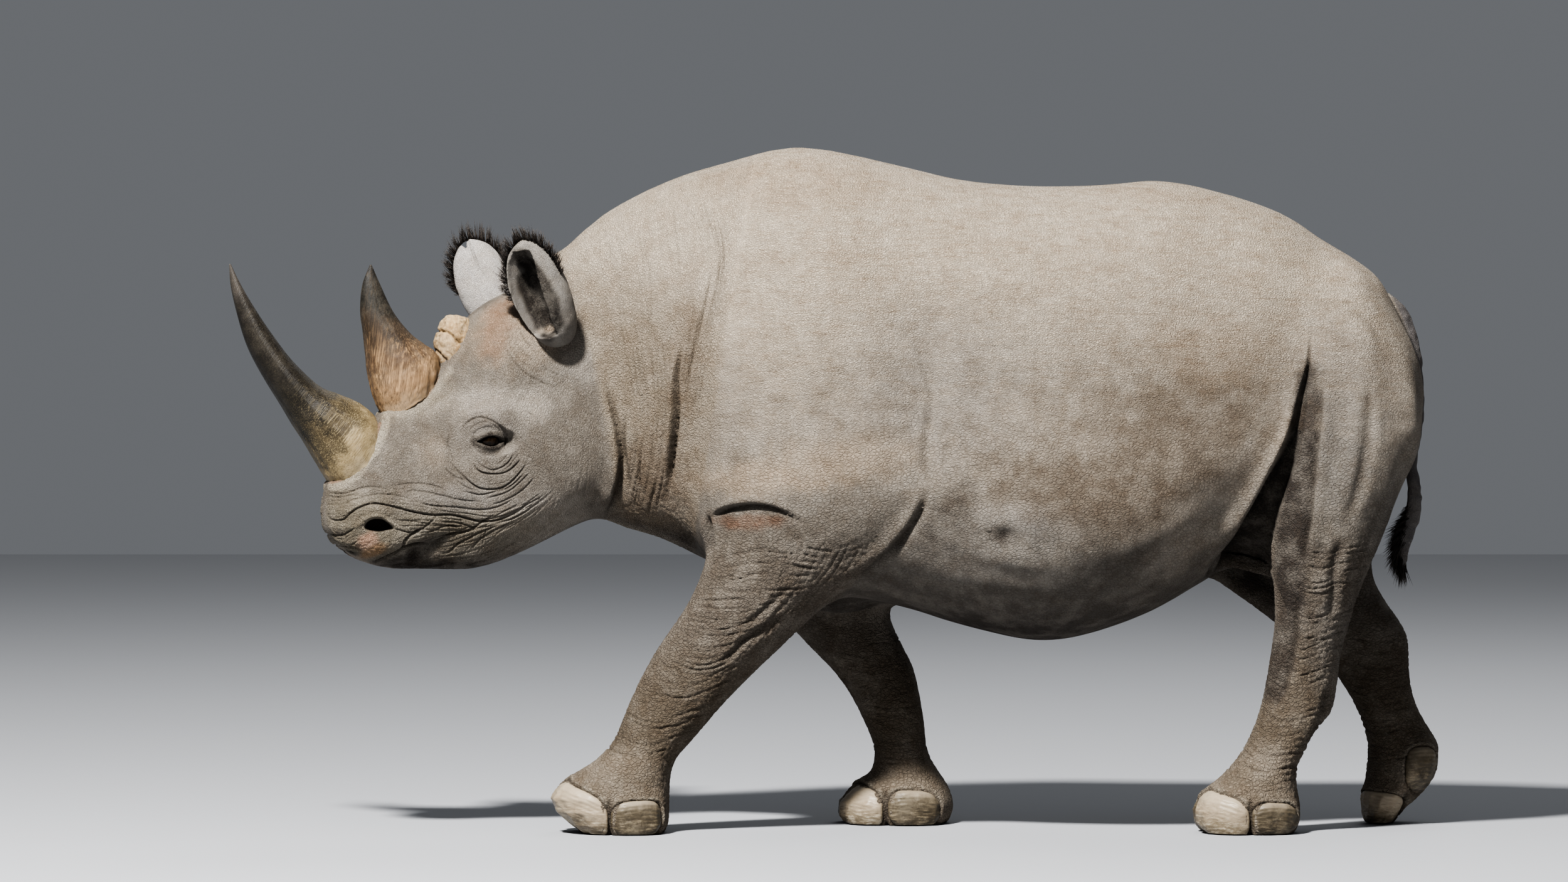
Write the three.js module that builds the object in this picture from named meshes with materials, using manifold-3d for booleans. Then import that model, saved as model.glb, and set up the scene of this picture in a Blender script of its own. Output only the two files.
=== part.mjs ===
// A black rhinoceros in mid stride, at life size.
// Millimetres, +Z up. It walks toward -X, so its left side is toward -Y. The soles stand on z = 0.
import * as THREE from 'three';
import { mergeVertices } from 'three/addons/utils/BufferGeometryUtils.js';
import Module from 'manifold-3d';

const wasm = await Module();
wasm.setup();

// ---------------------------------------------------------------- driving sizes
const withersHeight = 1585;
const backDip = 1492;
const rumpHeight = 1507;
const bellyClearance = 434;
const bellyHalfWidth = 430;
const shoulderHalfWidth = 350;
const hipHalfWidth = 330;
const rumpEnd = 1338;
const middleX = 12; // how far the middle of the whole length lies behind the drawing's zero

const headYaw = THREE.MathUtils.degToRad(18); // the nose is turned toward the left side
const headPivot = -542; // x of the joint between skull and neck
const cheekHalfWidth = 165;
const muzzleHalfWidth = 98;
const eyeRadius = 23.5;
const eyePlace = [-314, 909]; // forward from the pivot, and up
const nostrilPlace = [-564, 721];
const earHeight = 250;
const earWall = 7;
const earRoll = 13; // how much thicker the rear rim is, rolled over the cup

const foreFootHalfWidth = 118;
const hindFootHalfWidth = 112;
const foreStance = 158; // middle of a front foot from the midline
const hindStance = 156;

const gap = 0.3; // between any two pieces that meet
const overrun = 60; // how far a piece is made past the cut that ends it

// ---------------------------------------------------------------- small helpers
const degrees = angle => THREE.MathUtils.degToRad(angle);
const mix = (a, b, t) => a + (b - a) * t;
const bell = (distance, width) => Math.exp(-((distance / width) ** 2));

function softMin(a, b, radius) {
  const share = Math.max(radius - Math.abs(a - b), 0) / radius;
  return Math.min(a, b) - share * share * radius / 4;
}

// A smooth run through rows of numbers; column 0 is the position along the run.
function smoothRows(rows, count = 96) {
  const first = rows[0][0];
  const last = rows[rows.length - 1][0];
  const table = [];
  for (let i = 0; i <= count; i++) {
    const at = mix(first, last, i / count);
    let k = 0;
    while (k < rows.length - 2 && (at - rows[k + 1][0]) * Math.sign(last - first) > 0) k++;
    const before = rows[Math.max(k - 1, 0)];
    const here = rows[k];
    const next = rows[k + 1];
    const after = rows[Math.min(k + 2, rows.length - 1)];
    const span = next[0] - here[0];
    const t = (at - here[0]) / span;
    const row = here.map((value, c) => {
      const slopeIn = k > 0 ? (next[c] - before[c]) / (next[0] - before[0]) * span : next[c] - value;
      const slopeOut = k + 2 < rows.length
        ? (after[c] - value) / (after[0] - here[0]) * span : next[c] - value;
      const t2 = t * t;
      const t3 = t2 * t;
      return value * (2 * t3 - 3 * t2 + 1) + slopeIn * (t3 - 2 * t2 + t)
        + next[c] * (3 * t2 - 2 * t3) + slopeOut * (t3 - t2);
    });
    row[0] = at;
    table.push(row);
  }
  return at => {
    const place = THREE.MathUtils.clamp((at - first) / (last - first), 0, 1) * count;
    const k = Math.min(Math.floor(place), count - 1);
    return table[k].map((value, c) => mix(value, table[k + 1][c], place - k));
  };
}

// A mass of flesh told by its sections: each row is
// [position, low edge, widest place, high edge, middle to the side, half width, squareness].
// Sections of a 'lying' mass stand across x; sections of a 'standing' one lie across z.
function mass(kind, rows, startCap, endCap) {
  const sectionAt = smoothRows(rows);
  const first = rows[0][0];
  const last = rows[rows.length - 1][0];
  return (x, y, z) => {
    const along = kind === 'lying' ? x : z;
    const across = kind === 'lying' ? z : x;
    const [, low, wide, high, side, halfWidth, squareness] = sectionAt(along);
    const offset = across - wide;
    const reach = offset > 0 ? high - wide : wide - low;
    const sideways = y - side;
    const beyond = along < first ? (first - along) / startCap : along > last ? (along - last) / endCap : 0;
    const ratio = ((Math.abs(offset) / reach) ** squareness + (Math.abs(sideways) / halfWidth) ** squareness
      + beyond ** squareness) ** (1 / squareness);
    const length = Math.hypot(offset, sideways, beyond * (along < first ? startCap : endCap));
    return ratio < 0.05 ? -Math.min(reach, halfWidth) : length * (1 - 1 / ratio);
  };
}

// ---------------------------------------------------------------- the flesh
// position, belly line, widest, back line, side, half width, squareness
const trunk = mass('lying', [
  [-640, 880, 1080, 1345, -30, 110, 2.0],
  [-542, 724, 1060, 1432, -12, 152, 2.0],
  [-396, 668, 1020, 1506, 0, 228, 2.1],
  [-264, 606, 980, 1548, 0, 296, 2.1],
  [-90, 556, 930, withersHeight, 0, shoulderHalfWidth, 2.2],
  [130, 522, 860, 1546, 0, 385, 2.3],
  [305, 470, 830, 1505, 0, 420, 2.3],
  [480, bellyClearance, 810, backDip, 0, bellyHalfWidth, 2.3],
  [612, 458, 830, 1496, 0, 424, 2.3],
  [758, 514, 880, rumpHeight, 0, 398, 2.3],
  [868, 580, 930, 1486, 0, 368, 2.2],
  [977, 622, 970, 1455, 0, hipHalfWidth, 2.2],
  [1070, 664, 990, 1414, 0, 302, 2.1],
  [1170, 716, 1010, 1334, 0, 258, 2.0],
], 120, rumpEnd - 1170);

const leftForeleg = mass('standing', [
  [-20, -560, -480, -390, -foreStance, foreFootHalfWidth - 6, 2.6],
  [20, -604, -490, -383, -foreStance, foreFootHalfWidth, 2.5],
  [66, -648, -500, -383, -foreStance, foreFootHalfWidth, 2.4],
  [104, -636, -495, -381, -foreStance, foreFootHalfWidth - 4, 2.3],
  [130, -602, -490, -381, -foreStance, foreFootHalfWidth - 8, 2.3],
  [165, -558, -465, -374, -foreStance, 100, 2.2],
  [205, -516, -430, -334, -foreStance, 88, 2.1],
  [301, -480, -365, -254, -172, 84, 2.1],
  [422, -418, -280, -130, -188, 94, 2.1],
  [556, -328, -170, 5, -208, 112, 2.1],
  [690, -290, -90, 134, -222, 132, 2.1],
  [800, -282, -50, 198, -232, 146, 2.1],
  [1000, -235, -10, 205, -228, 150, 2.2],
  [1200, -165, 0, 172, -200, 140, 2.2],
  [1340, -110, 0, 125, -165, 110, 2.0],
], 40, 110);

const rightForeleg = mass('standing', [
  [-20, 36, 150, 262, foreStance, foreFootHalfWidth - 6, 2.6],
  [20, 18, 150, 282, foreStance, foreFootHalfWidth, 2.5],
  [60, 26, 150, 281, foreStance, foreFootHalfWidth, 2.4],
  [96, 70, 155, 262, foreStance, foreFootHalfWidth - 12, 2.3],
  [138, 96, 158, 230, foreStance, 94, 2.2],
  [182, 94, 154, 214, foreStance, 84, 2.1],
  [235, 68, 142, 213, foreStance, 80, 2.1],
  [300, 38, 118, 202, 170, 84, 2.1],
  [382, -28, 80, 182, 184, 92, 2.1],
  [461, -110, 20, 134, 196, 104, 2.1],
  [600, -190, -20, 110, 214, 124, 2.1],
  [800, -250, -30, 190, 232, 146, 2.1],
  [1000, -225, -10, 200, 228, 150, 2.2],
  [1200, -165, 0, 172, 200, 140, 2.2],
  [1340, -110, 0, 125, 165, 110, 2.0],
], 40, 110);

const leftHindLeg = mass('standing', [
  [-20, 862, 955, 1060, -hindStance, hindFootHalfWidth - 6, 2.6],
  [28, 842, 955, 1082, -hindStance, hindFootHalfWidth, 2.5],
  [66, 842, 956, 1080, -hindStance, hindFootHalfWidth, 2.4],
  [112, 874, 972, 1068, -hindStance, 100, 2.3],
  [160, 922, 998, 1072, -hindStance, 82, 2.2],
  [215, 955, 1034, 1108, -hindStance, 70, 2.1],
  [290, 982, 1074, 1158, -hindStance, 70, 2.1],
  [383, 1001, 1088, 1166, -168, 76, 2.1],
  [500, 1016, 1104, 1194, -184, 92, 2.1],
  [600, 1012, 1114, 1230, -198, 112, 2.1],
  [737, 1022, 1150, 1288, -208, 134, 2.1],
  [850, 1042, 1180, 1340, -208, 148, 2.2],
  [985, 1058, 1190, 1366, -196, 156, 2.2],
  [1120, 1080, 1190, 1338, -176, 148, 2.1],
  [1230, 1105, 1180, 1255, -135, 108, 2.0],
], 40, 70);

const rightHindLeg = mass('standing', [
  [-20, 1258, 1276, 1296, hindStance + 12, 66, 2.2],
  [14, 1248, 1280, 1318, hindStance + 12, 84, 2.2],
  [50, 1244, 1286, 1350, hindStance + 10, 98, 2.2],
  [90, 1242, 1308, 1394, hindStance + 8, 104, 2.2],
  [141, 1251, 1324, 1417, hindStance + 6, 100, 2.2],
  [188, 1251, 1322, 1420, hindStance + 4, 90, 2.1],
  [238, 1236, 1302, 1384, hindStance + 2, 74, 2.1],
  [297, 1206, 1282, 1358, hindStance + 2, 70, 2.1],
  [373, 1152, 1262, 1350, 172, 74, 2.1],
  [430, 1076, 1220, 1354, 178, 82, 2.1],
  [492, 1000, 1170, 1318, 186, 96, 2.1],
  [571, 890, 1120, 1262, 196, 112, 2.1],
  [737, 955, 1120, 1290, 208, 134, 2.1],
  [850, 1010, 1160, 1340, 208, 148, 2.2],
  [985, 1058, 1190, 1366, 196, 156, 2.2],
  [1120, 1080, 1190, 1338, 176, 148, 2.1],
  [1230, 1105, 1180, 1255, 135, 108, 2.0],
], 40, 70);

// The head is told about its own middle plane, forward along -x from the pivot.
const skull = mass('lying', [
  [-645, 668, 742, 842, 0, 64, 2.1],
  [-614, 642, 735, 890, 0, 86, 2.2],
  [-570, 622, 738, 942, 0, muzzleHalfWidth, 2.3],
  [-516, 608, 758, 996, 0, 104, 2.2],
  [-456, 607, 788, 1042, 0, 112, 2.1],
  [-398, 604, 828, 1082, 0, 128, 2.0],
  [-336, 602, 876, 1182, 0, 150, 2.0],
  [-272, 614, 898, 1234, 0, cheekHalfWidth, 2.1],
  [-200, 642, 908, 1258, 0, cheekHalfWidth + 2, 2.1],
  [-120, 680, 918, 1262, 0, 164, 2.1],
  [-50, 712, 935, 1258, 0, 156, 2.1],
], 30, 70);

function headLocal(x, y) {
  const forward = x - headPivot;
  return [forward * Math.cos(headYaw) + y * Math.sin(headYaw),
    y * Math.cos(headYaw) - forward * Math.sin(headYaw)];
}

function headWorld(x, y) {
  return [headPivot + x * Math.cos(headYaw) - y * Math.sin(headYaw),
    x * Math.sin(headYaw) + y * Math.cos(headYaw)];
}

// Broad hollows and swells of the head, in the head's own place: [x, side, z, width, rise].
const headForms = [
  [-314, 150, 970, 42, 13], // brow
  [-330, 158, 856, 34, 7], // under the eye
  [-225, 172, 900, 80, 10], // cheek bone
  [-440, 108, 955, 60, -14], // hollow before the eye
  [-110, 168, 815, 105, 15], // jowl
  [-455, 112, 735, 55, 8], // root of the lip
  [-575, 100, 704, 36, 9], // wing of the nostril
  [-180, 130, 1150, 55, 14], // root of the ear
  [-170, 150, 1045, 50, -12], // temple
];

function headFlesh(x, y, z) {
  let depth = skull(x, y, z);
  for (const [formX, side, formZ, width, rise] of headForms) {
    depth -= rise * bell(Math.hypot(x - formX, Math.abs(y) - side, z - formZ), width);
  }
  return depth;
}

// Broad hollows and swells of the body: [x, side, z, width, rise]; side 0 is on the midline.
const bodyForms = [
  [235, 400, 900, 95, -26], // behind the shoulder
  [215, 360, 1150, 80, -16],
  [190, 330, 700, 80, -14],
  [1010, 345, 1050, 90, -20], // flank hollow
  [930, 330, 780, 80, -18],
  [1100, 300, 1330, 70, 14], // point of the hip
  [-200, 300, 1250, 110, -14], // before the shoulder blade
  [-10, 340, 1330, 120, 10], // shoulder blade
  [-330, 250, 900, 80, -12], // jugular furrow
  [700, 400, 700, 130, 12], // gut
];

function flesh(x, y, z) {
  let depth = trunk(x, y, z);
  const legs = y < 0 ? [leftForeleg, leftHindLeg] : [rightForeleg, rightHindLeg];
  for (const leg of legs) depth = softMin(depth, leg(x, y, z), 90);
  for (const [formX, side, formZ, width, rise] of bodyForms) {
    depth -= rise * bell(Math.hypot(x - formX, Math.abs(y) - side, z - formZ), width);
  }
  if (x < -300) {
    const [localX, localY] = headLocal(x, y);
    depth = softMin(depth, headFlesh(localX, localY, z), 50);
  }
  return depth;
}

// ---------------------------------------------------------------- solids
function toSolid(geometry) {
  const bare = geometry.clone();
  bare.deleteAttribute('normal');
  bare.deleteAttribute('uv');
  const merged = mergeVertices(bare, 1e-4);
  return new wasm.Manifold(new wasm.Mesh({
    numProp: 3,
    vertProperties: new Float32Array(merged.attributes.position.array),
    triVerts: new Uint32Array(merged.index.array),
  }));
}

function largest(solid) {
  return solid.decompose().sort((a, b) => b.volume() - a.volume())[0];
}

function toGeometry(solid) {
  const mesh = largest(solid).getMesh();
  const geometry = new THREE.BufferGeometry();
  geometry.setAttribute('position', new THREE.BufferAttribute(new Float32Array(mesh.vertProperties), 3));
  geometry.setIndex(new THREE.BufferAttribute(new Uint32Array(mesh.triVerts), 1));
  geometry.computeVertexNormals();
  return geometry;
}

// Rings of points, each as long as the next, closed at both ends by a middle point.
function skinRings(rings, startPoint, endPoint) {
  const count = rings[0].length;
  const points = [startPoint, ...rings.flat(), endPoint];
  const last = points.length - 1;
  const faces = [];
  for (let k = 0; k < count; k++) {
    const next = (k + 1) % count;
    faces.push(0, 1 + next, 1 + k);
    for (let r = 0; r + 1 < rings.length; r++) {
      const a = 1 + r * count + k;
      const b = 1 + r * count + next;
      faces.push(a, b, b + count, a, b + count, a + count);
    }
    faces.push(last, last - count + k, last - count + next);
  }
  const geometry = new THREE.BufferGeometry();
  geometry.setAttribute('position', new THREE.Float32BufferAttribute(points.flat(), 3));
  geometry.setIndex(faces);
  return geometry;
}

// How far a ray runs from `origin` inside a field before it comes out.
function reachOf(field, origin, direction, longest, level = 0) {
  const value = t => field(origin.x + direction.x * t, origin.y + direction.y * t,
    origin.z + direction.z * t) - level;
  let inside = 0;
  let outside = 0;
  while (value(outside) < 0 && outside < longest) {
    inside = outside;
    outside += 8;
  }
  for (let n = 0; n < 22; n++) {
    const middle = (inside + outside) / 2;
    if (value(middle) < 0) inside = middle;
    else outside = middle;
  }
  return (inside + outside) / 2;
}

// The outside of a field, found by rays in rings round a line of middles. `axis` is the way the line
// runs; `middles` are rows [along, x, y, z, lean about x, lean about y] in millimetres and degrees.
// The ends are closed with rings of rays that lean out to the line's way, `leans` of them each.
function raySkin(field, axis, middles, segments, leans, longest, level = 0) {
  const way = new THREE.Vector3(axis === 'x' ? 1 : 0, 0, axis === 'z' ? 1 : 0);
  const sideways = new THREE.Vector3(0, 1, 0);
  const across = new THREE.Vector3().crossVectors(way, sideways);
  const cast = (row, direction) => {
    const [, x, y, z, leanX = 0, leanY = 0] = row;
    const turn = new THREE.Euler(degrees(leanX), degrees(leanY), 0, 'YXZ');
    const origin = new THREE.Vector3(x, y, z);
    direction.applyEuler(turn);
    return origin.addScaledVector(direction, reachOf(field, origin, direction, longest, level)).toArray();
  };
  const ring = (row, lean) => Array.from({ length: segments }, (_, k) => {
    const angle = 2 * Math.PI * k / segments;
    return cast(row, sideways.clone().multiplyScalar(Math.cos(angle) * Math.cos(lean))
      .addScaledVector(across, Math.sin(angle) * Math.cos(lean)).addScaledVector(way, Math.sin(lean)));
  });
  const start = middles[0];
  const end = middles[middles.length - 1];
  const rings = [];
  for (let n = 1; n < leans; n++) rings.push(ring(start, Math.PI / 2 * (n / leans - 1)));
  for (const row of middles) rings.push(ring(row, 0));
  for (let n = 1; n < leans; n++) rings.push(ring(end, Math.PI / 2 * n / leans));
  return skinRings(rings, cast(start, way.clone().negate()), cast(end, way.clone()));
}

// Rows for raySkin at a spacing, from a coarse line of middles.
function spaced(line, positions) {
  const at = smoothRows(line, 64);
  return positions.map(p => at(p));
}

function steps(from, to, count) {
  return Array.from({ length: count + 1 }, (_, k) => mix(from, to, k / count));
}

// ---------------------------------------------------------------- where the pieces part
// Blocks of space with a turn; their faces are the cuts between pieces.
const blockSize = 4000;

function makeBlock(point, anchor, leanX, leanY) {
  const turn = new THREE.Matrix4()
    .makeRotationFromEuler(new THREE.Euler(degrees(leanX), degrees(leanY), 0, 'YXZ'));
  const place = turn.clone().setPosition(...point)
    .multiply(new THREE.Matrix4().makeTranslation(...anchor.map(share => -share * blockSize / 2)));
  const back = place.clone().invert();
  const local = new THREE.Vector3();
  return {
    // How deep a point is in the block, negative inside.
    depth(x, y, z) {
      local.set(x, y, z).applyMatrix4(back);
      return Math.max(Math.abs(local.x), Math.abs(local.y), Math.abs(local.z)) - blockSize / 2;
    },
    solid(grow = 0, matrix = new THREE.Matrix4()) {
      const side = blockSize + 2 * grow;
      return toSolid(new THREE.BoxGeometry(side, side, side).applyMatrix4(place).applyMatrix4(matrix));
    },
  };
}
const blockBefore = (x, z, lean) => makeBlock([x, 0, z], [1, 0, 0], 0, lean);
const blockUnder = (z, lean) => makeBlock([0, 0, z], [0, 0, 1], lean, 0);
const blockBehindUnder = (x, z, leanX, leanY) => makeBlock([x, 0, z], [-1, 0, 1], leanX, leanY);

const neckBlock = blockBefore(-330, 640, 9);
const napeLean = -10.4;
const headBlock = blockBefore(0, 700, napeLean);
const floorBlock = blockUnder(0, 0);
const sideBlock = side => makeBlock([0, side * 1.5, 0], [0, -side, 0], 0, 0);

// Each leg is parted from the trunk by a leaning plane, low at the midline and high at the flank,
// and by a second plane: behind the elbow for a foreleg, before the thigh for a hind leg.
const shoulderLean = 42;
const hipLean = 50;
const flankLean = 22;
const underBelly = blockUnder(bellyClearance - 14, 0);
function foreRegion(side, elbowLean) {
  const under = blockUnder(440, side * shoulderLean);
  const before = blockBefore(212, 790, elbowLean);
  return {
    depth: (x, y, z) => Math.min(underBelly.depth(x, y, z),
      Math.max(under.depth(x, y, z), before.depth(x, y, z))),
    solid: grow => under.solid(grow).intersect(before.solid(grow)).add(underBelly.solid(grow)),
  };
}
const regions = {
  foreLeft: foreRegion(-1, 40),
  foreRight: foreRegion(1, 0),
  hindLeft: blockBehindUnder(880, 590, -hipLean, flankLean),
  hindRight: blockBehindUnder(880, 590, hipLean, flankLean),
};
const headMatrix = new THREE.Matrix4().makeRotationZ(headYaw).setPosition(headPivot, 0, 0);

// ---------------------------------------------------------------- trunk, neck and legs
function trunkField(x, y, z) {
  let depth = Math.max(flesh(x, y, z), -(neckBlock.depth(x, y, z) + overrun));
  const near = y < 0 ? ['foreLeft', 'hindLeft'] : ['foreRight', 'hindRight'];
  for (const key of near) depth = Math.max(depth, -(regions[key].depth(x, y, z) + overrun));
  return depth;
}
const trunkRows = spaced([
  [-285, -285, 0, 1080, 0, 9], [-120, -120, 0, 1080, 0, 5], [60, 60, 0, 1040, 0, 0],
  [500, 500, 0, 980, 0, 0], [850, 850, 0, 1040, 0, 0], [1120, 1120, 0, 1100, 0, 0],
], [...steps(-285, 250, 11), ...steps(297, 800, 8), ...steps(845, 1120, 6)]);
const trunkSkin = level => toSolid(raySkin(trunkField, 'x', trunkRows, 36, 5, 900, level));
let torso = trunkSkin(0).subtract(neckBlock.solid(gap / 2));
for (const region of Object.values(regions)) torso = torso.subtract(region.solid(gap / 2));

function neckField(x, y, z) {
  const [localX, localY] = headLocal(x, y);
  return Math.max(flesh(x, y, z), neckBlock.depth(x, y, z) - overrun,
    -(headBlock.depth(localX, localY, z) + overrun));
}
const neckRows = spaced([
  [-630, -630, -28, 1060, 0, napeLean], [-430, -430, -5, 1085, 0, 0], [-235, -235, 0, 1080, 0, 9],
], steps(-630, -235, 10));
const neck = toSolid(raySkin(neckField, 'x', neckRows, 32, 4, 900))
  .intersect(neckBlock.solid(-gap / 2)).subtract(headBlock.solid(gap / 2, headMatrix));

// Rows [height, x, y, lean about x, lean about y] of each leg's line of middles.
const legLines = {
  foreLeft: [[-15, -490, -158, 0, 0], [100, -482, -158, 0, 0], [205, -430, -158, 0, 0],
    [422, -275, -188, 0, 0], [540, -190, -206, -22, 0], [672, -100, -222, -shoulderLean, 0]],
  foreRight: [[-15, 150, 158, 0, 0], [120, 160, 158, 0, 0], [240, 140, 160, 0, 0],
    [390, 76, 184, 0, 0], [530, 0, 205, 22, 0], [672, -30, 222, shoulderLean, 0]],
  hindLeft: [[-15, 960, -156, 0, 0], [120, 976, -156, 0, 0], [240, 1046, -156, 0, 0], [400, 1090, -170, 0, 0],
    [540, 1104, -190, -15, 6], [660, 1130, -202, -34, 14], [770, 1172, -208, -hipLean, flankLean]],
  hindRight: [[-15, 1277, 168, 0, 0], [90, 1318, 164, 0, 0], [190, 1328, 160, 0, 0], [320, 1276, 163, 0, 0],
    [420, 1222, 176, 0, 0], [540, 1110, 192, 15, 6], [660, 1120, 202, 34, 14],
    [770, 1160, 208, hipLean, flankLean]],
};
const foreLevels = [-15, 20, 50, 80, 110, 140, 175, 210, 255, 305, 360, 420, 475, 530, 580, 628, 672];
const hindLevels = [-15, 20, 50, 80, 110, 145, 185, 230, 280, 335, 390, 440, 490, 545, 600, 660, 715, 770];

function legField(key) {
  const side = key.endsWith('Left') ? -1 : 1;
  return (x, y, z) => Math.max(flesh(x, y, z), regions[key].depth(x, y, z) - overrun, -side * y - 8);
}
function legSkin(key, level = 0) {
  const levels = key.startsWith('fore') ? foreLevels : hindLevels;
  const rows = spaced(legLines[key], levels).map(([z, x, y, ...leans]) => [z, x, y, z, ...leans]);
  return toSolid(raySkin(legField(key), 'z', rows, 20, 4, 700, level));
}
const legs = Object.fromEntries(Object.keys(legLines).map(key => [key, legSkin(key)
  .intersect(regions[key].solid(-gap / 2))
  .intersect(sideBlock(key.endsWith('Left') ? -1 : 1).solid())
  .subtract(floorBlock.solid())]));

// ---------------------------------------------------------------- nails
// A foot has three broad ones that wrap its front: one in the middle and one to each side.
// Rows [bearing in degrees, height of its middle, half breadth, half height, x of the foot's middle there];
// a bearing of 180 is forward.
const nailThickness = 13;
const nailSquareness = 2.8;
const nailShares = [1, 0.94, 0.78, 0.45]; // rings of points from the edge to the middle
const nailSegments = 10;
const footRadius = 118;
const footMiddles = {
  foreLeft: [-505, -foreStance], foreRight: [150, foreStance],
  hindLeft: [960, -hindStance], hindRight: [1316, hindStance + 8],
};
const nailRows = {
  foreLeft: [[216, 54, 92, 56], [293, 38, 60, 42], [134, 46, 60, 46]],
  foreRight: [[217, 42, 72, 48], [287, 38, 60, 44], [150, 40, 64, 44]],
  hindLeft: [[227, 44, 84, 50], [299, 36, 58, 38], [152, 38, 58, 42]],
  hindRight: [[240, 36, 122, 42, 1288], [298, 128, 54, 54, 1330], [72, 128, 54, 54, 1330]],
};
function nailShape(key, [bearing, height, halfBreadth, halfHeight, footX]) {
  const field = legField(key);
  const [middleOfFootX, middleOfFootY] = footMiddles[key];
  const rounded = value => Math.sign(value) * Math.abs(value) ** (2 / nailSquareness);
  const onFoot = (across, up, rise) => {
    const angle = degrees(bearing) + across / footRadius;
    const point = new THREE.Vector3(footX ?? middleOfFootX, middleOfFootY, height + up);
    const out = new THREE.Vector3(Math.cos(angle), Math.sin(angle), 0);
    return point.addScaledVector(out, reachOf(field, point, out, 300) + rise).toArray();
  };
  const rings = nailShares.map(share => Array.from({ length: nailSegments }, (_, k) => {
    const turn = 2 * Math.PI * k / nailSegments;
    return onFoot(share * halfBreadth * rounded(Math.cos(turn)), share * halfHeight * rounded(Math.sin(turn)),
      nailThickness * Math.sqrt(1 - share ** 4) - (share === 1 ? 5 : 0));
  }));
  return toSolid(skinRings(rings, onFoot(0, 0, -2 * nailThickness), onFoot(0, 0, nailThickness)));
}
const legNames = {
  foreLeft: 'front_left', foreRight: 'front_right', hindLeft: 'hind_left', hindRight: 'hind_right',
};
const nailNames = ['middle', 'nearside', 'offside'];

// ---------------------------------------------------------------- head
function headField(x, y, z) {
  const [worldX, worldY] = headWorld(x, y);
  return Math.max(flesh(worldX, worldY, z), headBlock.depth(x, y, z) - overrun);
}
const headRows = spaced([
  [-596, -596, 0, 760, 0, 0], [-490, -490, 0, 800, 0, 0], [-320, -320, 0, 890, 0, 0],
  [-22, -22, 0, 980, 0, napeLean],
], [...steps(-596, -290, 13), ...steps(-262, -22, 6)]);
const headSkin = level => toSolid(raySkin(headField, 'x', headRows, 36, 4, 500, level));
let head = headSkin(0).intersect(headBlock.solid(-gap / 2));
const grownHead = headSkin(gap);

// A closed tube along a curve, its width and height changing along the run.
function taperedTube(points, sizes, segments = 8, rowsCount = 12) {
  const curve = new THREE.CatmullRomCurve3(points.map(p => new THREE.Vector3(...p)));
  const sizeAt = smoothRows(sizes.map((size, k) => [k / (sizes.length - 1), ...size]), 32);
  const rings = [];
  for (let r = 0; r <= rowsCount; r++) {
    const t = r / rowsCount;
    const centre = curve.getPoint(t);
    const along = curve.getTangent(t);
    const side = new THREE.Vector3(0, 1, 0).cross(along).normalize();
    const up = new THREE.Vector3().crossVectors(along, side);
    const [, a, b] = sizeAt(t);
    rings.push(Array.from({ length: segments }, (_, k) => {
      const angle = 2 * Math.PI * k / segments;
      return centre.clone().addScaledVector(side, a * Math.cos(angle))
        .addScaledVector(up, b * Math.sin(angle)).toArray();
    }));
  }
  return skinRings(rings, curve.getPoint(0).toArray(), curve.getPoint(1).toArray());
}

// Rows [front x, front z, rear x, rear z, half width] from the tip down to the root.
function hornShape(rows, segments) {
  const at = smoothRows(rows.map((row, k) => [k, ...row]), 48);
  const rings = steps(0, rows.length - 1, Math.round((rows.length - 1) * 1.5)).map(k => {
    const [, frontX, frontZ, rearX, rearZ, halfWidth] = at(k);
    return Array.from({ length: segments }, (_, s) => {
      const angle = 2 * Math.PI * s / segments;
      const share = (1 - Math.cos(angle)) / 2;
      return [mix(frontX, rearX, share), halfWidth * Math.sin(angle), mix(frontZ, rearZ, share)];
    });
  });
  const centreOf = ring => ring.reduce((sum, p) => sum.map((v, c) => v + p[c] / ring.length), [0, 0, 0]);
  const tip = centreOf(rings[0]);
  return skinRings(rings, [tip[0], tip[1], tip[2] + 2], centreOf(rings[rings.length - 1]));
}
const frontHorn = hornShape([
  [-896, 1317, -893, 1317, 2],
  [-892, 1266, -872, 1274, 13],
  [-877, 1202, -840, 1220, 24],
  [-851, 1123, -798, 1158, 37],
  [-807, 1044, -746, 1092, 50],
  [-761, 972, -690, 1040, 62],
  [-722, 912, -638, 1016, 74],
  [-682, 848, -584, 994, 84],
  [-655, 805, -552, 962, 86],
  [-622, 785, -530, 920, 76],
], 14);
const rearHorn = hornShape([
  [-560, 1313, -556, 1313, 2],
  [-578, 1267, -536, 1268, 14],
  [-583, 1209, -506, 1206, 30],
  [-576, 1157, -468, 1158, 46],
  [-570, 1104, -434, 1130, 60],
  [-564, 1055, -406, 1110, 70],
  [-548, 1000, -394, 1078, 74],
  [-526, 955, -398, 1035, 64],
], 14);
const stubHorn = hornShape([
  [-374, 1196, -342, 1193, 24],
  [-390, 1176, -322, 1184, 42],
  [-402, 1140, -306, 1152, 50],
  [-400, 1108, -300, 1122, 52],
  [-390, 1070, -306, 1095, 44],
], 12);

// ---------------------------------------------------------------- locks of long bristle
function seeded(seed) {
  let state = seed;
  return (low, high) => {
    state = (state * 1664525 + 1013904223) % 4294967296;
    return mix(low, high, state / 4294967296);
  };
}

const lockSink = 7; // how deep the root of a lock stands in what it grows from
const lockThickness = 3;
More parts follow.
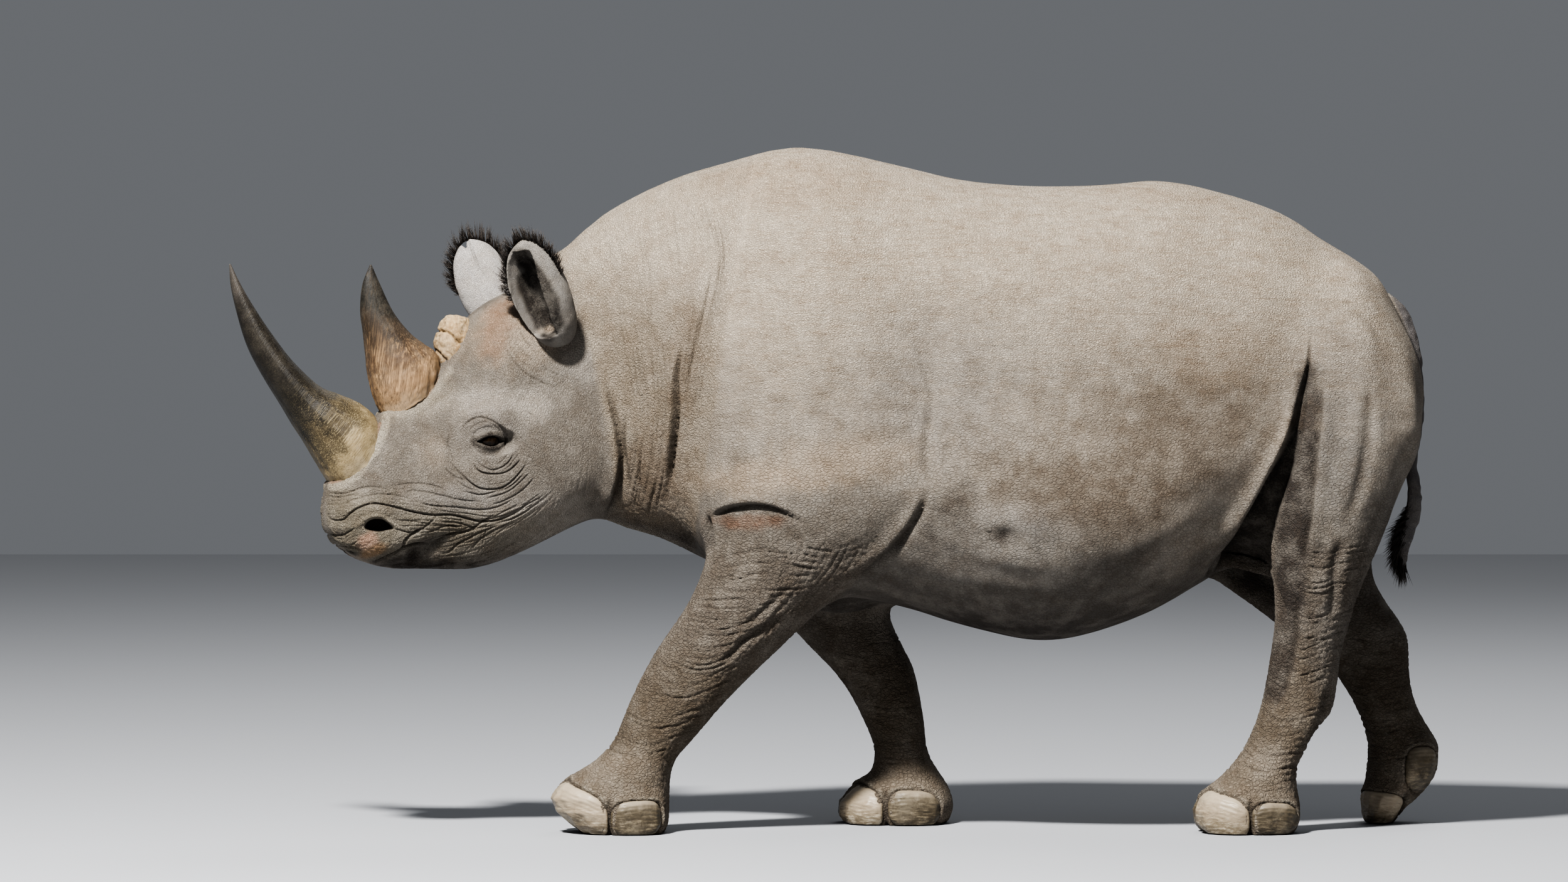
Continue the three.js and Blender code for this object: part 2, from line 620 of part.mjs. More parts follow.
// A flat blade that tapers to a point, bent toward `droop` along its length.
function lockShape(root, way, flat, length, width, droop) {
  const forward = new THREE.Vector3(...way).normalize();
  const normal = new THREE.Vector3(...flat).addScaledVector(forward, -forward.dot(new THREE.Vector3(...flat)))
    .normalize();
  const breadth = new THREE.Vector3().crossVectors(normal, forward);
  const spine = share => new THREE.Vector3(...root).addScaledVector(forward, length * share)
    .addScaledVector(new THREE.Vector3(...droop), length * share * share);
  const start = new THREE.Vector3(...root).addScaledVector(forward, -lockSink);
  const rings = [[start, 0.8], [spine(0.1), 1], [spine(0.5), 0.75]].map(([centre, size]) =>
    [[1, 0], [0, 1], [-1, 0], [0, -1]].map(([a, b]) => centre.clone()
      .addScaledVector(breadth, a * size * width / 2)
      .addScaledVector(normal, b * size * lockThickness / 2).toArray()));
  return toSolid(skinRings(rings, start.clone().addScaledVector(forward, -1).toArray(), spine(1).toArray()));
}
const withLocks = (solid, locks) => locks.reduce((sum, lock) => sum.add(lock), solid);

// ---------------------------------------------------------------- ears
// A deep cup: an upright leaf less a scoop set toward its open side.
// [height, half breadth, half depth, bend forward of the middle]
const earRows = [
  [0, 14, 12, 0], [12, 34, 28, 0], [40, 50, 40, 2], [85, 62, 46, 4], [130, 67, 46, 4], [175, 62, 40, 2],
  [212, 50, 30, -2], [236, 30, 18, -6], [earHeight, 6, 5, -8],
];
const scoopStart = 36;
const scoopShift = 15;
const earSegments = 14;
const earAt = smoothRows(earRows, 64);
function earShape(side) {
  const rings = (inset, roll, shift, from, to, count) => steps(from, to, count).map(height => {
    const [, halfBreadth, halfDepth, bend] = earAt(height);
    return Array.from({ length: earSegments }, (_, k) => {
      const angle = 2 * Math.PI * k / earSegments;
      return [-bend - shift + (halfDepth - inset) * Math.cos(angle),
        -side * roll + (halfBreadth - inset - roll) * Math.sin(angle), height];
    });
  });
  const leaf = toSolid(skinRings(rings(0, 0, 0, 0, earHeight, 10), [0, 0, -3], [8, 0, earHeight + 1]));
  const scoop = toSolid(skinRings(rings(earWall, earRoll, scoopShift, scoopStart, earHeight - 20, 8),
    [-scoopShift, 0, scoopStart - 8], [-9, 0, earHeight - 17]));
  return leaf.subtract(scoop);
}
// Bristles stand along the rim over the top of an ear, from bearing to bearing round `rimMiddle`;
// 0 is straight up and a positive bearing leans to the front rim.
const rimMiddle = 140;
const rimBristle = [22, 34]; // shortest and longest
const rimWidth = 21;
function earLocks(side, count, fromBearing, toBearing, seed) {
  const vary = seeded(seed);
  return steps(fromBearing, toBearing, count - 1).map(bearing => {
    const angle = degrees(bearing + vary(-2, 2));
    const out = [-side * Math.sin(angle), Math.cos(angle)];
    const onRim = reach => {
      const height = rimMiddle + reach * out[1];
      return height < earHeight - 3 && Math.abs(reach * out[0]) < earAt(height)[1];
    };
    let reach = 0;
    while (onRim(reach)) reach += 1;
    const bend = earAt(rimMiddle + reach * out[1])[3];
    const root = [-bend + vary(-1.5, 1.5), reach * out[0], rimMiddle + reach * out[1]];
    const way = [vary(-0.25, 0.1), out[0], out[1] + 0.25];
    return lockShape(root, way, [1, 0, 0], vary(...rimBristle), rimWidth, [0, 0, vary(0.05, 0.2)]);
  });
}
// Where an ear stands on the head, how it leans outward and forward, the way its cup faces, and its
// bristles: how many, from and to which bearing, and a seed.
const earPlaces = {
  left: { side: -1, at: [-141, 150, 1127], size: 1.09, outward: 0.2, forward: -0.43, facing: 0.84,
    locks: [16, -66, 96, 11] },
  right: { side: 1, at: [-186, 146, 1136], size: 1, outward: 0.2, forward: -0.35, facing: 1.8,
    locks: [16, -80, 80, 12] },
};
function earSolid({ side, at, size, outward, forward, facing, locks }) {
  const matrix = new THREE.Matrix4()
    .makeRotationFromEuler(new THREE.Euler(-side * outward, forward, -side * facing))
    .scale(new THREE.Vector3(size, size, size))
    .setPosition(at[0], side * at[1], at[2]);
  const ear = withLocks(earShape(side), earLocks(side, ...locks));
  return toSolid(toGeometry(ear).applyMatrix4(matrix)).subtract(grownHead);
}

// ---------------------------------------------------------------- face
const faceReach = (x, z, side) => reachOf(headField, new THREE.Vector3(x, 0, z),
  new THREE.Vector3(0, side, 0), 300);

function nostril(side) {
  const cut = new THREE.SphereGeometry(1, 12, 8);
  cut.scale(30, 24, 13);
  cut.rotateY(-0.3);
  cut.translate(nostrilPlace[0], side * (faceReach(...nostrilPlace, side) - 4), nostrilPlace[1]);
  return toSolid(cut);
}

// The line between the lips, round the muzzle from one corner to the other: rows [forward, up].
const lipLine = [[-411, 695], [-447, 688], [-503, 669], [-546, 652], [-594, 641], [-630, 650]];
const lipGroove = 5;
function mouthLine() {
  const points = lipLine.map(([x, z]) => [x, -faceReach(x, z, -1), z]);
  const front = [lipLine[lipLine.length - 1][0] - 22, 0, lipLine[lipLine.length - 1][1] + 3];
  const path = [...points, front, ...points.map(([x, y, z]) => [x, -y, z]).reverse()];
  const full = [lipGroove, lipGroove];
  return toSolid(taperedTube(path, [[2, 2], full, full, full, [2, 2]], 5, 22));
}

// Two lids close over each eye; the gap between them is the opening.
const lidHalfLength = 36;
const lidRise = 12;
function eyeMiddle(side) {
  const [x, z] = eyePlace;
  return [x, side * (faceReach(x, z, side) - eyeRadius + 9), z];
}
function lid(side, rise) {
  const [x, y, z] = eyeMiddle(side);
  const curve = [-1, -0.6, 0, 0.6, 1].map(share => [x + lidHalfLength * share,
    y + side * (eyeRadius * Math.sqrt(1 - 0.75 * share * share) - 2), z + rise * (1 - share * share)]);
  return toSolid(taperedTube(curve, [[4, 5], [7, 8], [8, 9], [7, 8], [4, 5]], 6, 8));
}
function eyeball(side, radius) {
  const ball = new THREE.SphereGeometry(radius, 12, 8);
  return toSolid(ball.translate(...eyeMiddle(side)));
}

head = head.subtract(mouthLine());
for (const side of [-1, 1]) {
  head = head.subtract(nostril(side)).add(lid(side, lidRise)).add(lid(side, -lidRise))
    .subtract(eyeball(side, eyeRadius + gap));
}

// ---------------------------------------------------------------- tail
// Rows [x, z, half depth, half width] of the stem.
const tailRows = [
  [1270, 1222, 30, 32], [1308, 1192, 27, 29], [1336, 1130, 22, 24], [1352, 1050, 18, 20], [1356, 960, 16, 18],
  [1350, 904, 15, 17], [1342, 849, 14, 15], [1350, 785, 16, 13], [1346, 729, 18, 11], [1331, 677, 17, 9],
  [1322, 627, 12, 8], [1321, 602, 5, 4],
];
const tailStem = toSolid(taperedTube(tailRows.map(([x, z]) => [x, 0, z]),
  tailRows.map(([, , depth, width]) => [depth, width]), 10, 20));
// Bristles grow from the fore edge of its end, longer and steeper toward the tip.
const tuftTop = 745;
const tuftEnd = 608;
const tuftLocks = 18;
const tuftBristle = [34, 48];
const tuftWidth = 15;
const tailAt = smoothRows(tailRows.map(([x, z, depth]) => [z, x, depth]), 96);
function tailLocks() {
  const vary = seeded(5);
  return Array.from({ length: tuftLocks }, (_, k) => {
    const share = (k + vary(0, 0.6)) / tuftLocks;
    const height = mix(tuftTop, tuftEnd, share);
    const [, x, depth] = tailAt(height);
    const edge = mix(-0.85, 0.5, Math.max(0, share - 0.6) * vary(0.2, 2.5));
    const root = [x + edge * depth, vary(-4, 4), height];
    const way = [mix(-1, -0.1, share) + vary(-0.15, 0.15), vary(-0.3, 0.3), mix(-0.35, -1, share)];
    return lockShape(root, way, [0, 1, 0], vary(...tuftBristle), tuftWidth, [0, 0, vary(-0.3, -0.1)]);
  });
}
const tail = withLocks(tailStem, tailLocks()).subtract(trunkSkin(gap));

// ---------------------------------------------------------------- the animal
const colours = {
  hide: [0x8f8474, 0.85], limb: [0x6d6459, 0.85], nail: [0x8d8468, 0.45], horn: [0x2f2a24, 0.4],
  rearHorn: [0x6b5034, 0.6], stub: [0x9a7d4e, 0.8], ear: [0x8c8880, 0.8], eye: [0x120c08, 0.08],
};
function piece(name, solidOrGeometry, look) {
  const geometry = solidOrGeometry.isBufferGeometry ? solidOrGeometry : toGeometry(solidOrGeometry);
  const [color, roughness] = colours[look];
  const mesh = new THREE.Mesh(geometry, new THREE.MeshStandardMaterial({ color, roughness, metalness: 0 }));
  mesh.name = name;
  return mesh;
}

const rhinoceros = new THREE.Group();
rhinoceros.add(piece('torso', torso, 'hide'), piece('neck', neck, 'hide'), piece('tail', tail, 'limb'));
for (const [key, solid] of Object.entries(legs)) {
  rhinoceros.add(piece(`${legNames[key]}_leg`, solid, 'limb'));
  const grown = legSkin(key, gap);
  nailRows[key].forEach((row, k) => {
    const nail = nailShape(key, row).subtract(grown).subtract(floorBlock.solid());
    rhinoceros.add(piece(`${legNames[key]}_nail_${nailNames[k]}`, nail, 'nail'));
  });
}

const headGroup = new THREE.Group();
headGroup.position.x = headPivot;
headGroup.rotation.z = headYaw;
headGroup.add(
  piece('head', head, 'hide'),
  piece('horn_front', toSolid(frontHorn).subtract(grownHead), 'horn'),
  piece('horn_rear', toSolid(rearHorn).subtract(grownHead), 'rearHorn'),
  piece('horn_stub', toSolid(stubHorn).subtract(grownHead), 'stub'),
  piece('ear_left', earSolid(earPlaces.left), 'ear'),
  piece('ear_right', earSolid(earPlaces.right), 'ear'),
  piece('eye_left', eyeball(-1, eyeRadius), 'eye'),
  piece('eye_right', eyeball(1, eyeRadius), 'eye'),
);
rhinoceros.add(headGroup);
rhinoceros.position.x = -middleX;

export default rhinoceros;
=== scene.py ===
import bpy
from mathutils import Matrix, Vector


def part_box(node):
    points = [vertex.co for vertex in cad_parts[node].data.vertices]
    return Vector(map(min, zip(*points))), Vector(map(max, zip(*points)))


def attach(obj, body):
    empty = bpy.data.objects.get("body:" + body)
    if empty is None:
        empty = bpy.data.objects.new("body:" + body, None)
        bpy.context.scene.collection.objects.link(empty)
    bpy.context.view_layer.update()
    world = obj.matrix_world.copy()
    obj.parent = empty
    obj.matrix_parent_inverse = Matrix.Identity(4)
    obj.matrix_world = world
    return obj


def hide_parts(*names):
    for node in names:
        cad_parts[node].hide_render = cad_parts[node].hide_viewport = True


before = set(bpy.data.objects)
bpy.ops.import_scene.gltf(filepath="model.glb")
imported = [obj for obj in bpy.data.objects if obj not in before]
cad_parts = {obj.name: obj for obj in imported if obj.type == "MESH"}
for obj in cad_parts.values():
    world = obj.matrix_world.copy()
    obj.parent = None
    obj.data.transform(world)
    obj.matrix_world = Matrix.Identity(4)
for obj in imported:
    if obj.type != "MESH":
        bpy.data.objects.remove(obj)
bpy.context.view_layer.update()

import math
from contextlib import contextmanager
import bmesh
import bpy
import numpy as np
from mathutils import Matrix, Vector
from mathutils.bvhtree import BVHTree

print("frame loaded:", len(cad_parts), "nodes")

# The side sketch that folds and stains are drawn on: 2500 dots wide, y down.
sketch = {"width": 2500, "height": 1406, "dot": 0.00146, "distance": 25.0, "tilt": 2.0,
          "aim": (-0.130, 0.0, 0.900)}
headTurn = {"pivot": -0.554, "yaw": 18.0}


def unit(v):
    return v / np.maximum(np.linalg.norm(v, axis=-1, keepdims=True), 1e-12)


def ease(values, start, end):
    t = np.clip((values - start) / (end - start), 0, 1)
    return t * t * (3 - 2 * t)


def turned(points, degrees):
    c, s = math.cos(math.radians(degrees)), math.sin(math.radians(degrees))
    x, y, z = points.T
    return np.stack([c * x - s * y, s * x + c * y, z], 1)


def toHead(points):
    return turned(points - [headTurn["pivot"], 0, 0], -headTurn["yaw"])


def fromHead(points):
    return turned(np.asarray(points, float), headTurn["yaw"]) + [headTurn["pivot"], 0, 0]


def nearSide(points):
    # far side points take the place of their mirror image
    return np.stack([points[:, 0], -np.abs(points[:, 1]), points[:, 2]], 1)


def toSketch(points):
    tilt = math.radians(sketch["tilt"])
    ahead = np.array([0, math.cos(tilt), -math.sin(tilt)])
    up = np.array([0, math.sin(tilt), math.cos(tilt)])
    rel = points - (np.array(sketch["aim"]) - sketch["distance"] * ahead)
    size = sketch["distance"] / sketch["dot"] / (rel @ ahead)
    return np.stack([sketch["width"] / 2 + rel[:, 0] * size, sketch["height"] / 2 - (rel @ up) * size], 1)


# random values that are the same every time
def scatter(cells, seed):
    cells = cells.astype(np.int64)
    x, y, z = cells[..., 0], cells[..., 1], cells[..., 2]
    h = (x * 374761393 + y * 668265263 + z * 1274126177 + seed * 974634777) & 0xffffffff
    h = ((h ^ (h >> 13)) * 1103515245) & 0xffffffff
    h = ((h ^ (h >> 15)) * 668265261) & 0xffffffff
    return ((h ^ (h >> 16)) & 0xffff) / 65535.0


def cloudy(points, seed=0):
    low = np.floor(points)
    t = points - low
    t = t * t * (3 - 2 * t)
    total = np.zeros(len(points))
    for corner in np.ndindex(2, 2, 2):
        share = np.prod(np.where(corner, t, 1 - t), axis=1)
        total += share * scatter(low + corner, seed)
    return total * 2 - 1


def crackle(points, seed=0):
    # how far a point is from the nearest line between cells: 0 on the line
    low = np.floor(points)
    near = np.full(len(points), 9.0)
    second = near.copy()
    for step in np.ndindex(3, 3, 3):
        cell = low + step - 1
        middle = cell + np.stack([scatter(cell, seed + k) for k in (1, 2, 3)], 1)
        d = np.linalg.norm(middle - points, axis=1)
        second = np.minimum(second, np.maximum(near, d))
        near = np.minimum(near, d)
    return second - near


def between(a, b, c, d, t):
    # a place on the smooth curve from b to c; a and d are the rows before and after
    return 0.5 * (2 * b + (c - a) * t + (2 * a - 5 * b + 4 * c - d) * t * t
                  + (3 * b - a - 3 * c + d) * t ** 3)


def curveThrough(rows, places):
    # rows of numbers, joined smoothly; a place is a row's number, with a share of the way to the next
    rows = np.asarray(rows, float)
    padded = np.vstack([2 * rows[0] - rows[1], rows, 2 * rows[-1] - rows[-2]])
    low = np.clip(np.floor(places).astype(int), 0, len(rows) - 2)
    t = (np.asarray(places) - low)[:, None]
    return between(padded[low], padded[low + 1], padded[low + 2], padded[low + 3], t)


# mesh helpers
def placed(name, data):
    thing = bpy.data.objects.new(name, data)
    bpy.context.scene.collection.objects.link(thing)
    return thing


@contextmanager
def editing(mesh):
    bm = bmesh.new()
    bm.from_mesh(mesh)
    yield bm
    bm.to_mesh(mesh)
    bm.free()
    mesh.update()


def newPiece(name, verts, faces):
    mesh = bpy.data.meshes.new(name)
    mesh.from_pydata([tuple(v) for v in verts], [], [tuple(f) for f in faces])
    mesh.update()
    return placed(name, mesh)


def settle(piece):
    # keeps what the modifiers make, and drops them
    graph = bpy.context.evaluated_depsgraph_get()
    made = bpy.data.meshes.new_from_object(piece.evaluated_get(graph))
    old = piece.data
    piece.modifiers.clear()
    piece.data = made
    bpy.data.meshes.remove(old)
    return piece


def vertsOf(mesh):
    out = np.empty(len(mesh.vertices) * 3, np.float32)
    mesh.vertices.foreach_get("co", out)
    return out.reshape(-1, 3).astype(float)


def normalsOf(mesh):
    out = np.empty(len(mesh.vertices) * 3, np.float32)
    mesh.vertex_normals.foreach_get("vector", out)
    return out.reshape(-1, 3).astype(float)


def setVerts(mesh, verts):
    mesh.vertices.foreach_set("co", np.ascontiguousarray(verts, np.float32).ravel())
    mesh.update()


def setValues(mesh, name, values):
    mesh.attributes.new(name, "FLOAT", "POINT").data.foreach_set("value", values.astype(np.float32))


def edgesOf(mesh):
    out = np.empty(len(mesh.edges) * 2, np.int32)
    mesh.edges.foreach_get("vertices", out)
    return out.reshape(-1, 2)


def neighbourSum(edges, values):
    return (np.bincount(edges[:, 0], values[edges[:, 1]], len(values))
            + np.bincount(edges[:, 1], values[edges[:, 0]], len(values)))


def relax(mesh, weight, rounds):
    # moves each vertex toward the mean of its neighbours, by its own weight
    verts, edges = vertsOf(mesh), edgesOf(mesh)
    count = np.bincount(edges.ravel(), minlength=len(verts))[:, None]
    weight = np.broadcast_to(weight, len(verts))[:, None] * 0.5
    for _ in range(rounds):
        total = np.stack([neighbourSum(edges, verts[:, k]) for k in range(3)], 1)
        verts += (total / np.maximum(count, 1) - verts) * weight
    setVerts(mesh, verts)


def refine(mesh, wanted):
    # quarters each face whose corners are all wanted
    with editing(mesh) as bm:
        edges = {e for f in bm.faces if all(wanted[v.index] for v in f.verts) for e in f.edges}
        bmesh.ops.subdivide_edges(bm, edges=list(edges), cuts=1, use_grid_fill=True)


def weldedNodes(names, name, grow=0.0):
    mesh = bpy.data.meshes.new(name)
    with editing(mesh) as bm:
        for node in names:
            bm.from_mesh(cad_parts[node].data)
        bmesh.ops.remove_doubles(bm, verts=bm.verts, dist=1e-5)
        bmesh.ops.recalc_face_normals(bm, faces=bm.faces)
        bm.normal_update()
        for v in bm.verts:
            v.co += v.normal * grow
    return placed(name, mesh)


def largestShell(mesh):
    edges = edgesOf(mesh)
    label = np.arange(len(mesh.vertices))
    while True:
        low = np.minimum(label[edges[:, 0]], label[edges[:, 1]])
        before = label.copy()
        np.minimum.at(label, edges[:, 0], low)
        np.minimum.at(label, edges[:, 1], low)
        label = label[label]
        if (label == before).all():
            break
    names, counts = np.unique(label, return_counts=True)
    if len(names) > 1:
        keep = names[np.argmax(counts)]
        with editing(mesh) as bm:
            bmesh.ops.delete(bm, geom=[v for v in bm.verts if label[v.index] != keep], context="VERTS")
    return len(names)


def evenOut(piece, voxel, rounds):
    remesh = piece.modifiers.new("even", "REMESH")
    remesh.mode, remesh.voxel_size = "VOXEL", voxel
    settle(piece)
    print(piece.name, "evened:", len(piece.data.vertices), "vertices,", largestShell(piece.data), "shells")
    relax(piece.data, 1.0, rounds)


# the skin
legNodes = ["front_left_leg", "front_right_leg", "hind_left_leg", "hind_right_leg"]
hide = {"grow": 0.0006, "voxel": 0.008, "rounds": 34, "sole": (0.012, 0.004),
        "nodes": ["torso", "neck", "head", "eye_left", "eye_right"] + legNodes}

skin = weldedNodes(hide["nodes"], "skin", hide["grow"])
evenOut(skin, hide["voxel"], hide["rounds"])
# flat soles
verts = vertsOf(skin.data)
verts[:, 2] = verts[:, 2] * (1 - ease(verts[:, 2], *hide["sole"]))
setVerts(skin.data, verts)

# ears and tail, joined to the skin
def tube(rings):
    # verts and faces of a closed tube through rings of equal count
    count, around = rings.shape[:2]
    verts = np.vstack([rings.reshape(-1, 3), rings[0].mean(0), rings[-1].mean(0)])
    faces = []
    for r in range(count - 1):
        for k in range(around):
            a, b = r * around + k, r * around + (k + 1) % around
            faces.append((a, b, b + around, a + around))
    last = (count - 1) * around
    for k in range(around):
        faces.append(((k + 1) % around, k, count * around))
        faces.append((last + k, last + (k + 1) % around, count * around + 1))
    return verts, faces


def closedPiece(name, rings):
    piece = newPiece(name, *tube(rings))
    with editing(piece.data) as bm:
        bmesh.ops.recalc_face_normals(bm, faces=bm.faces)
    return piece


def combine(piece, other, how):
    cut = piece.modifiers.new(how, "BOOLEAN")
    cut.operation, cut.solver, cut.object = how, "MANIFOLD", other
    settle(piece)
    mesh = other.data
    bpy.data.objects.remove(other)
    bpy.data.meshes.remove(mesh)


ear = {
    # height, half breadth, half depth, bend forward, in mm
    "rows": [(0, 14, 12, 0), (12, 34, 28, 0), (40, 50, 40, 2), (85, 62, 46, 4), (130, 67, 46, 4),
             (175, 62, 40, 2), (212, 50, 30, -2), (236, 30, 18, -6), (250, 6, 5, -8)],
    # the leaf and its two hollows: inset, share of the breadth, shift back and sideways, low and high
    "leaf": (0, 1.0, 0, 0, 1, 249),
    "dish": (6, 0.80, 18, -0.19, 40, 232),
    "pit": (14, 0.56, -1, -0.34, 30, 200),
    "voxel": 0.0025, "lumps": 0.0008, "crease": 0.0035, "nick": 0.016,
    "left": {"side": -1, "at": (-141, 150, 1127), "size": 1.09,
             "outward": 0.2, "forward": -0.43, "facing": 0.84},
    "right": {"side": 1, "at": (-186, 146, 1136), "size": 1.0,
              "outward": 0.2, "forward": -0.35, "facing": 1.8},
}


def earFrame(place):
    side = place["side"]
    # the turn about the ear's own length comes first, as in an XYZ turn of the axes
    turn = (Matrix.Rotation(-side * place["outward"], 4, "X") @ Matrix.Rotation(place["forward"], 4, "Y")
            @ Matrix.Rotation(-side * place["facing"], 4, "Z"))
    at = (place["at"][0] / 1000, side * place["at"][1] / 1000, place["at"][2] / 1000)
    return Matrix.Translation(at) @ turn @ Matrix.Scale(place["size"], 4)


def earRings(side, inset, breadth, shift, sideways, low, high, count=40, around=64):
    rows = curveThrough(ear["rows"], np.linspace(0, len(ear["rows"]) - 1, 200))
    angle = np.linspace(0, 2 * np.pi, around, endpoint=False)
    out = []
    for h in np.linspace(low, high, count):
        halfBreadth, halfDepth, bend = [np.interp(h, rows[:, 0], rows[:, k]) for k in (1, 2, 3)]
        out.append(np.stack([-bend - shift + (halfDepth - inset) * np.cos(angle),
                             sideways * side * halfBreadth + (halfBreadth * breadth - inset) * np.sin(angle),
                             np.full(around, h)], 1))
    return np.array(out) / 1000


def makeEar(name):
    place = ear[name]
    leaf = closedPiece("ear " + name, earRings(place["side"], *ear["leaf"]))
    for cut in ("dish", "pit"):
        combine(leaf, closedPiece(cut, earRings(place["side"], *ear[cut])), "DIFFERENCE")
    evenOut(leaf, ear["voxel"], 9)
    verts, normals = vertsOf(leaf.data), normalsOf(leaf.data)
    height = ear["lumps"] * cloudy(verts / 0.02, 51)
    # an upright crease up the back, and a nick in the tip
    back = ease(normals[:, 0], 0.2, 0.7)
    wave = 0.004 * np.sin(verts[:, 2] * 60)
    crease = ease(verts[:, 2], 0.10, 0.17) * np.exp(-((verts[:, 1] - wave) / 0.004) ** 2)
    height -= ear["crease"] * back * crease
    verts += normals * height[:, None]
    if name == "right":
        across = np.exp(-((verts[:, 1] + 0.008) / 0.006) ** 2)
        verts[:, 2] -= ear["nick"] * ease(verts[:, 2], 0.19, 0.245) * across
    matrix = np.array(earFrame(place))
    setVerts(leaf.data, fromHead(verts @ matrix[:3, :3].T + matrix[:3, 3]))
    return leaf


tailShape = {
    # x, z, half depth, half width, in mm
    "rows": [(1258, 1222, 30, 32), (1296, 1192, 27, 29), (1324, 1130, 22, 24), (1340, 1050, 18, 20),
             (1344, 960, 16, 18), (1338, 904, 15, 17), (1330, 849, 14, 15), (1338, 785, 16, 13),
             (1334, 729, 18, 11), (1319, 677, 17, 9), (1310, 627, 12, 8), (1309, 602, 5, 4)],
    "voxel": 0.003,
}


def tailPath(places):
    rows = curveThrough(tailShape["rows"], places) / 1000
    middle = np.stack([rows[:, 0], 0.004 * np.sin(rows[:, 1] * 9), rows[:, 1]], 1)
    along = unit(np.gradient(middle, axis=0))
    side = unit(np.cross(np.array([0.0, 1.0, 0.0]), along))
    across = np.cross(along, side)
    return middle, side, across, rows[:, 2], rows[:, 3]


def makeTail():
    middle, side, across, deep, wide = tailPath(np.linspace(0, len(tailShape["rows"]) - 1, 120))
    angle = np.linspace(0, 2 * np.pi, 28, endpoint=False)
    rings = (middle[:, None] + side[:, None] * (deep[:, None] * np.cos(angle))[..., None]
             + across[:, None] * (wide[:, None] * np.sin(angle))[..., None])
    piece = closedPiece("tail skin", rings)
    evenOut(piece, tailShape["voxel"], 1)
    verts, normals = vertsOf(piece.data), normalsOf(piece.data)
    ridge = np.sin(verts[:, 2] / 0.0075 + 1.5 * cloudy(verts / 0.02, 61))
    setVerts(piece.data, verts + normals * (0.0006 * ridge + 0.0012 * cloudy(verts / 0.012, 62))[:, None])
    return piece


# which part each vertex belongs to, with soft borders
partNames = ["torso", "neck", "head", "ear_left", "ear_right", "tail"] + legNodes


def partShares(mesh, rounds):
    corners, triangles, owner = [], [], []
    for k, node in enumerate(partNames):
        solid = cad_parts[node].data
        start = len(corners)
        corners += [v.co[:] for v in solid.vertices]
        triangles += [[start + i for i in f.vertices] for f in solid.polygons]
        owner += [k] * len(solid.polygons)
    tree = BVHTree.FromPolygons(corners, triangles)
    owner.append(0)
    labels = np.array([owner[tree.find_nearest(v.co)[2]] for v in mesh.vertices])
    edges = edgesOf(mesh)
    count = np.maximum(np.bincount(edges.ravel(), minlength=len(labels)), 1)
    shares = {}
    for k, node in enumerate(partNames):
        share = (labels == k).astype(float)
        for _ in range(rounds):
            share = 0.4 * share + 0.6 * neighbourSum(edges, share) / count
        shares[node] = share
    return shares


# finer where the head, the legs and the deep folds need it
verts = vertsOf(skin.data)
headPlace = toHead(verts)
dots = toSketch(nearSide(verts))
fine = (headPlace[:, 0] < 0.06) & (verts[:, 2] > 0.55)
fine |= (np.abs(dots[:, 0] - 1140) < 110) & (verts[:, 2] > 0.5)
fine |= np.hypot((dots[:, 0] - 2085) / 60, (dots[:, 1] - 720) / 230) < 1
fine |= (verts[:, 2] < 0.68) & (np.abs(verts[:, 1]) > 0.03) & ((dots[:, 0] < 1460) | (dots[:, 0] > 1980))
refine(skin.data, fine)
print("finer folds:", len(skin.data.vertices), "vertices")
verts = vertsOf(skin.data)
headPlace = toHead(verts)
finest = (headPlace[:, 0] < -0.20) & (headPlace[:, 2] < 0.99) & (np.abs(headPlace[:, 1]) > 0.02)
refine(skin.data, finest)
relax(skin.data, 1.0, 3)
print("finer face:", len(skin.data.vertices), "vertices")
joined = bpy.data.meshes.new("ears and tail")
with editing(joined) as bm:
    for piece in (makeEar("left"), makeEar("right"), makeTail()):
        bm.from_mesh(piece.data)
        bpy.data.objects.remove(piece)
combine(skin, placed("ears and tail", joined), "UNION")
print("ears and tail joined:", len(skin.data.vertices), "vertices,", largestShell(skin.data), "shells")
shares = partShares(skin.data, 10)
for name in ("left", "right"):
    matrix = np.array(earFrame(ear[name]))
    local = (toHead(vertsOf(skin.data)) - matrix[:3, 3]) @ matrix[:3, :3]
    root = (ease(np.hypot(local[:, 0], local[:, 1]), 0.075, 0.05)
            * ease(np.abs(local[:, 2] - 0.012), 0.045, 0.01))
    relax(skin.data, root, 12)
print("part shares ready")

# folds and wrinkles, drawn on the side sketch and pressed in along the skin's own normals
def smoothLine(points, step=5.0):
    points = np.asarray(points, float)
    padded = np.vstack([2 * points[0] - points[1], points, 2 * points[-1] - points[-2]])
    out = []
    for k in range(1, len(padded) - 2):
        a, b, c, d = padded[k - 1:k + 3]
        pieces = max(2, int(np.hypot(*(c - b)) / step))
        for t in np.arange(pieces) / pieces:
            out.append(between(a, b, c, d, t))
    out.append(padded[-2])
    return np.array(out)


def acrossLine(dots, line):
    # for each dot: how far it is from the line (below 0 on the left of its run), and its share of the run
    near = np.full(len(dots), 1e9)
    signed = np.zeros(len(dots))
    share = np.zeros(len(dots))
    runs = np.hypot(*np.diff(line, axis=0).T)
    starts = np.concatenate([[0], np.cumsum(runs)]) / runs.sum()
    for k, run in enumerate(runs):
        along = (line[k + 1] - line[k]) / run
        rel = dots - line[k]
        t = np.clip(rel @ along, 0, run)
        gap = rel - t[:, None] * along
        d = np.hypot(gap[:, 0], gap[:, 1])
        closer = d < near
        near[closer] = d[closer]
        signed[closer] = (along[0] * rel[:, 1] - along[1] * rel[:, 0])[closer]
        share[closer] = starts[k] + t[closer] / run * (starts[k + 1] - starts[k])
    return np.where(signed < 0, -near, near), share


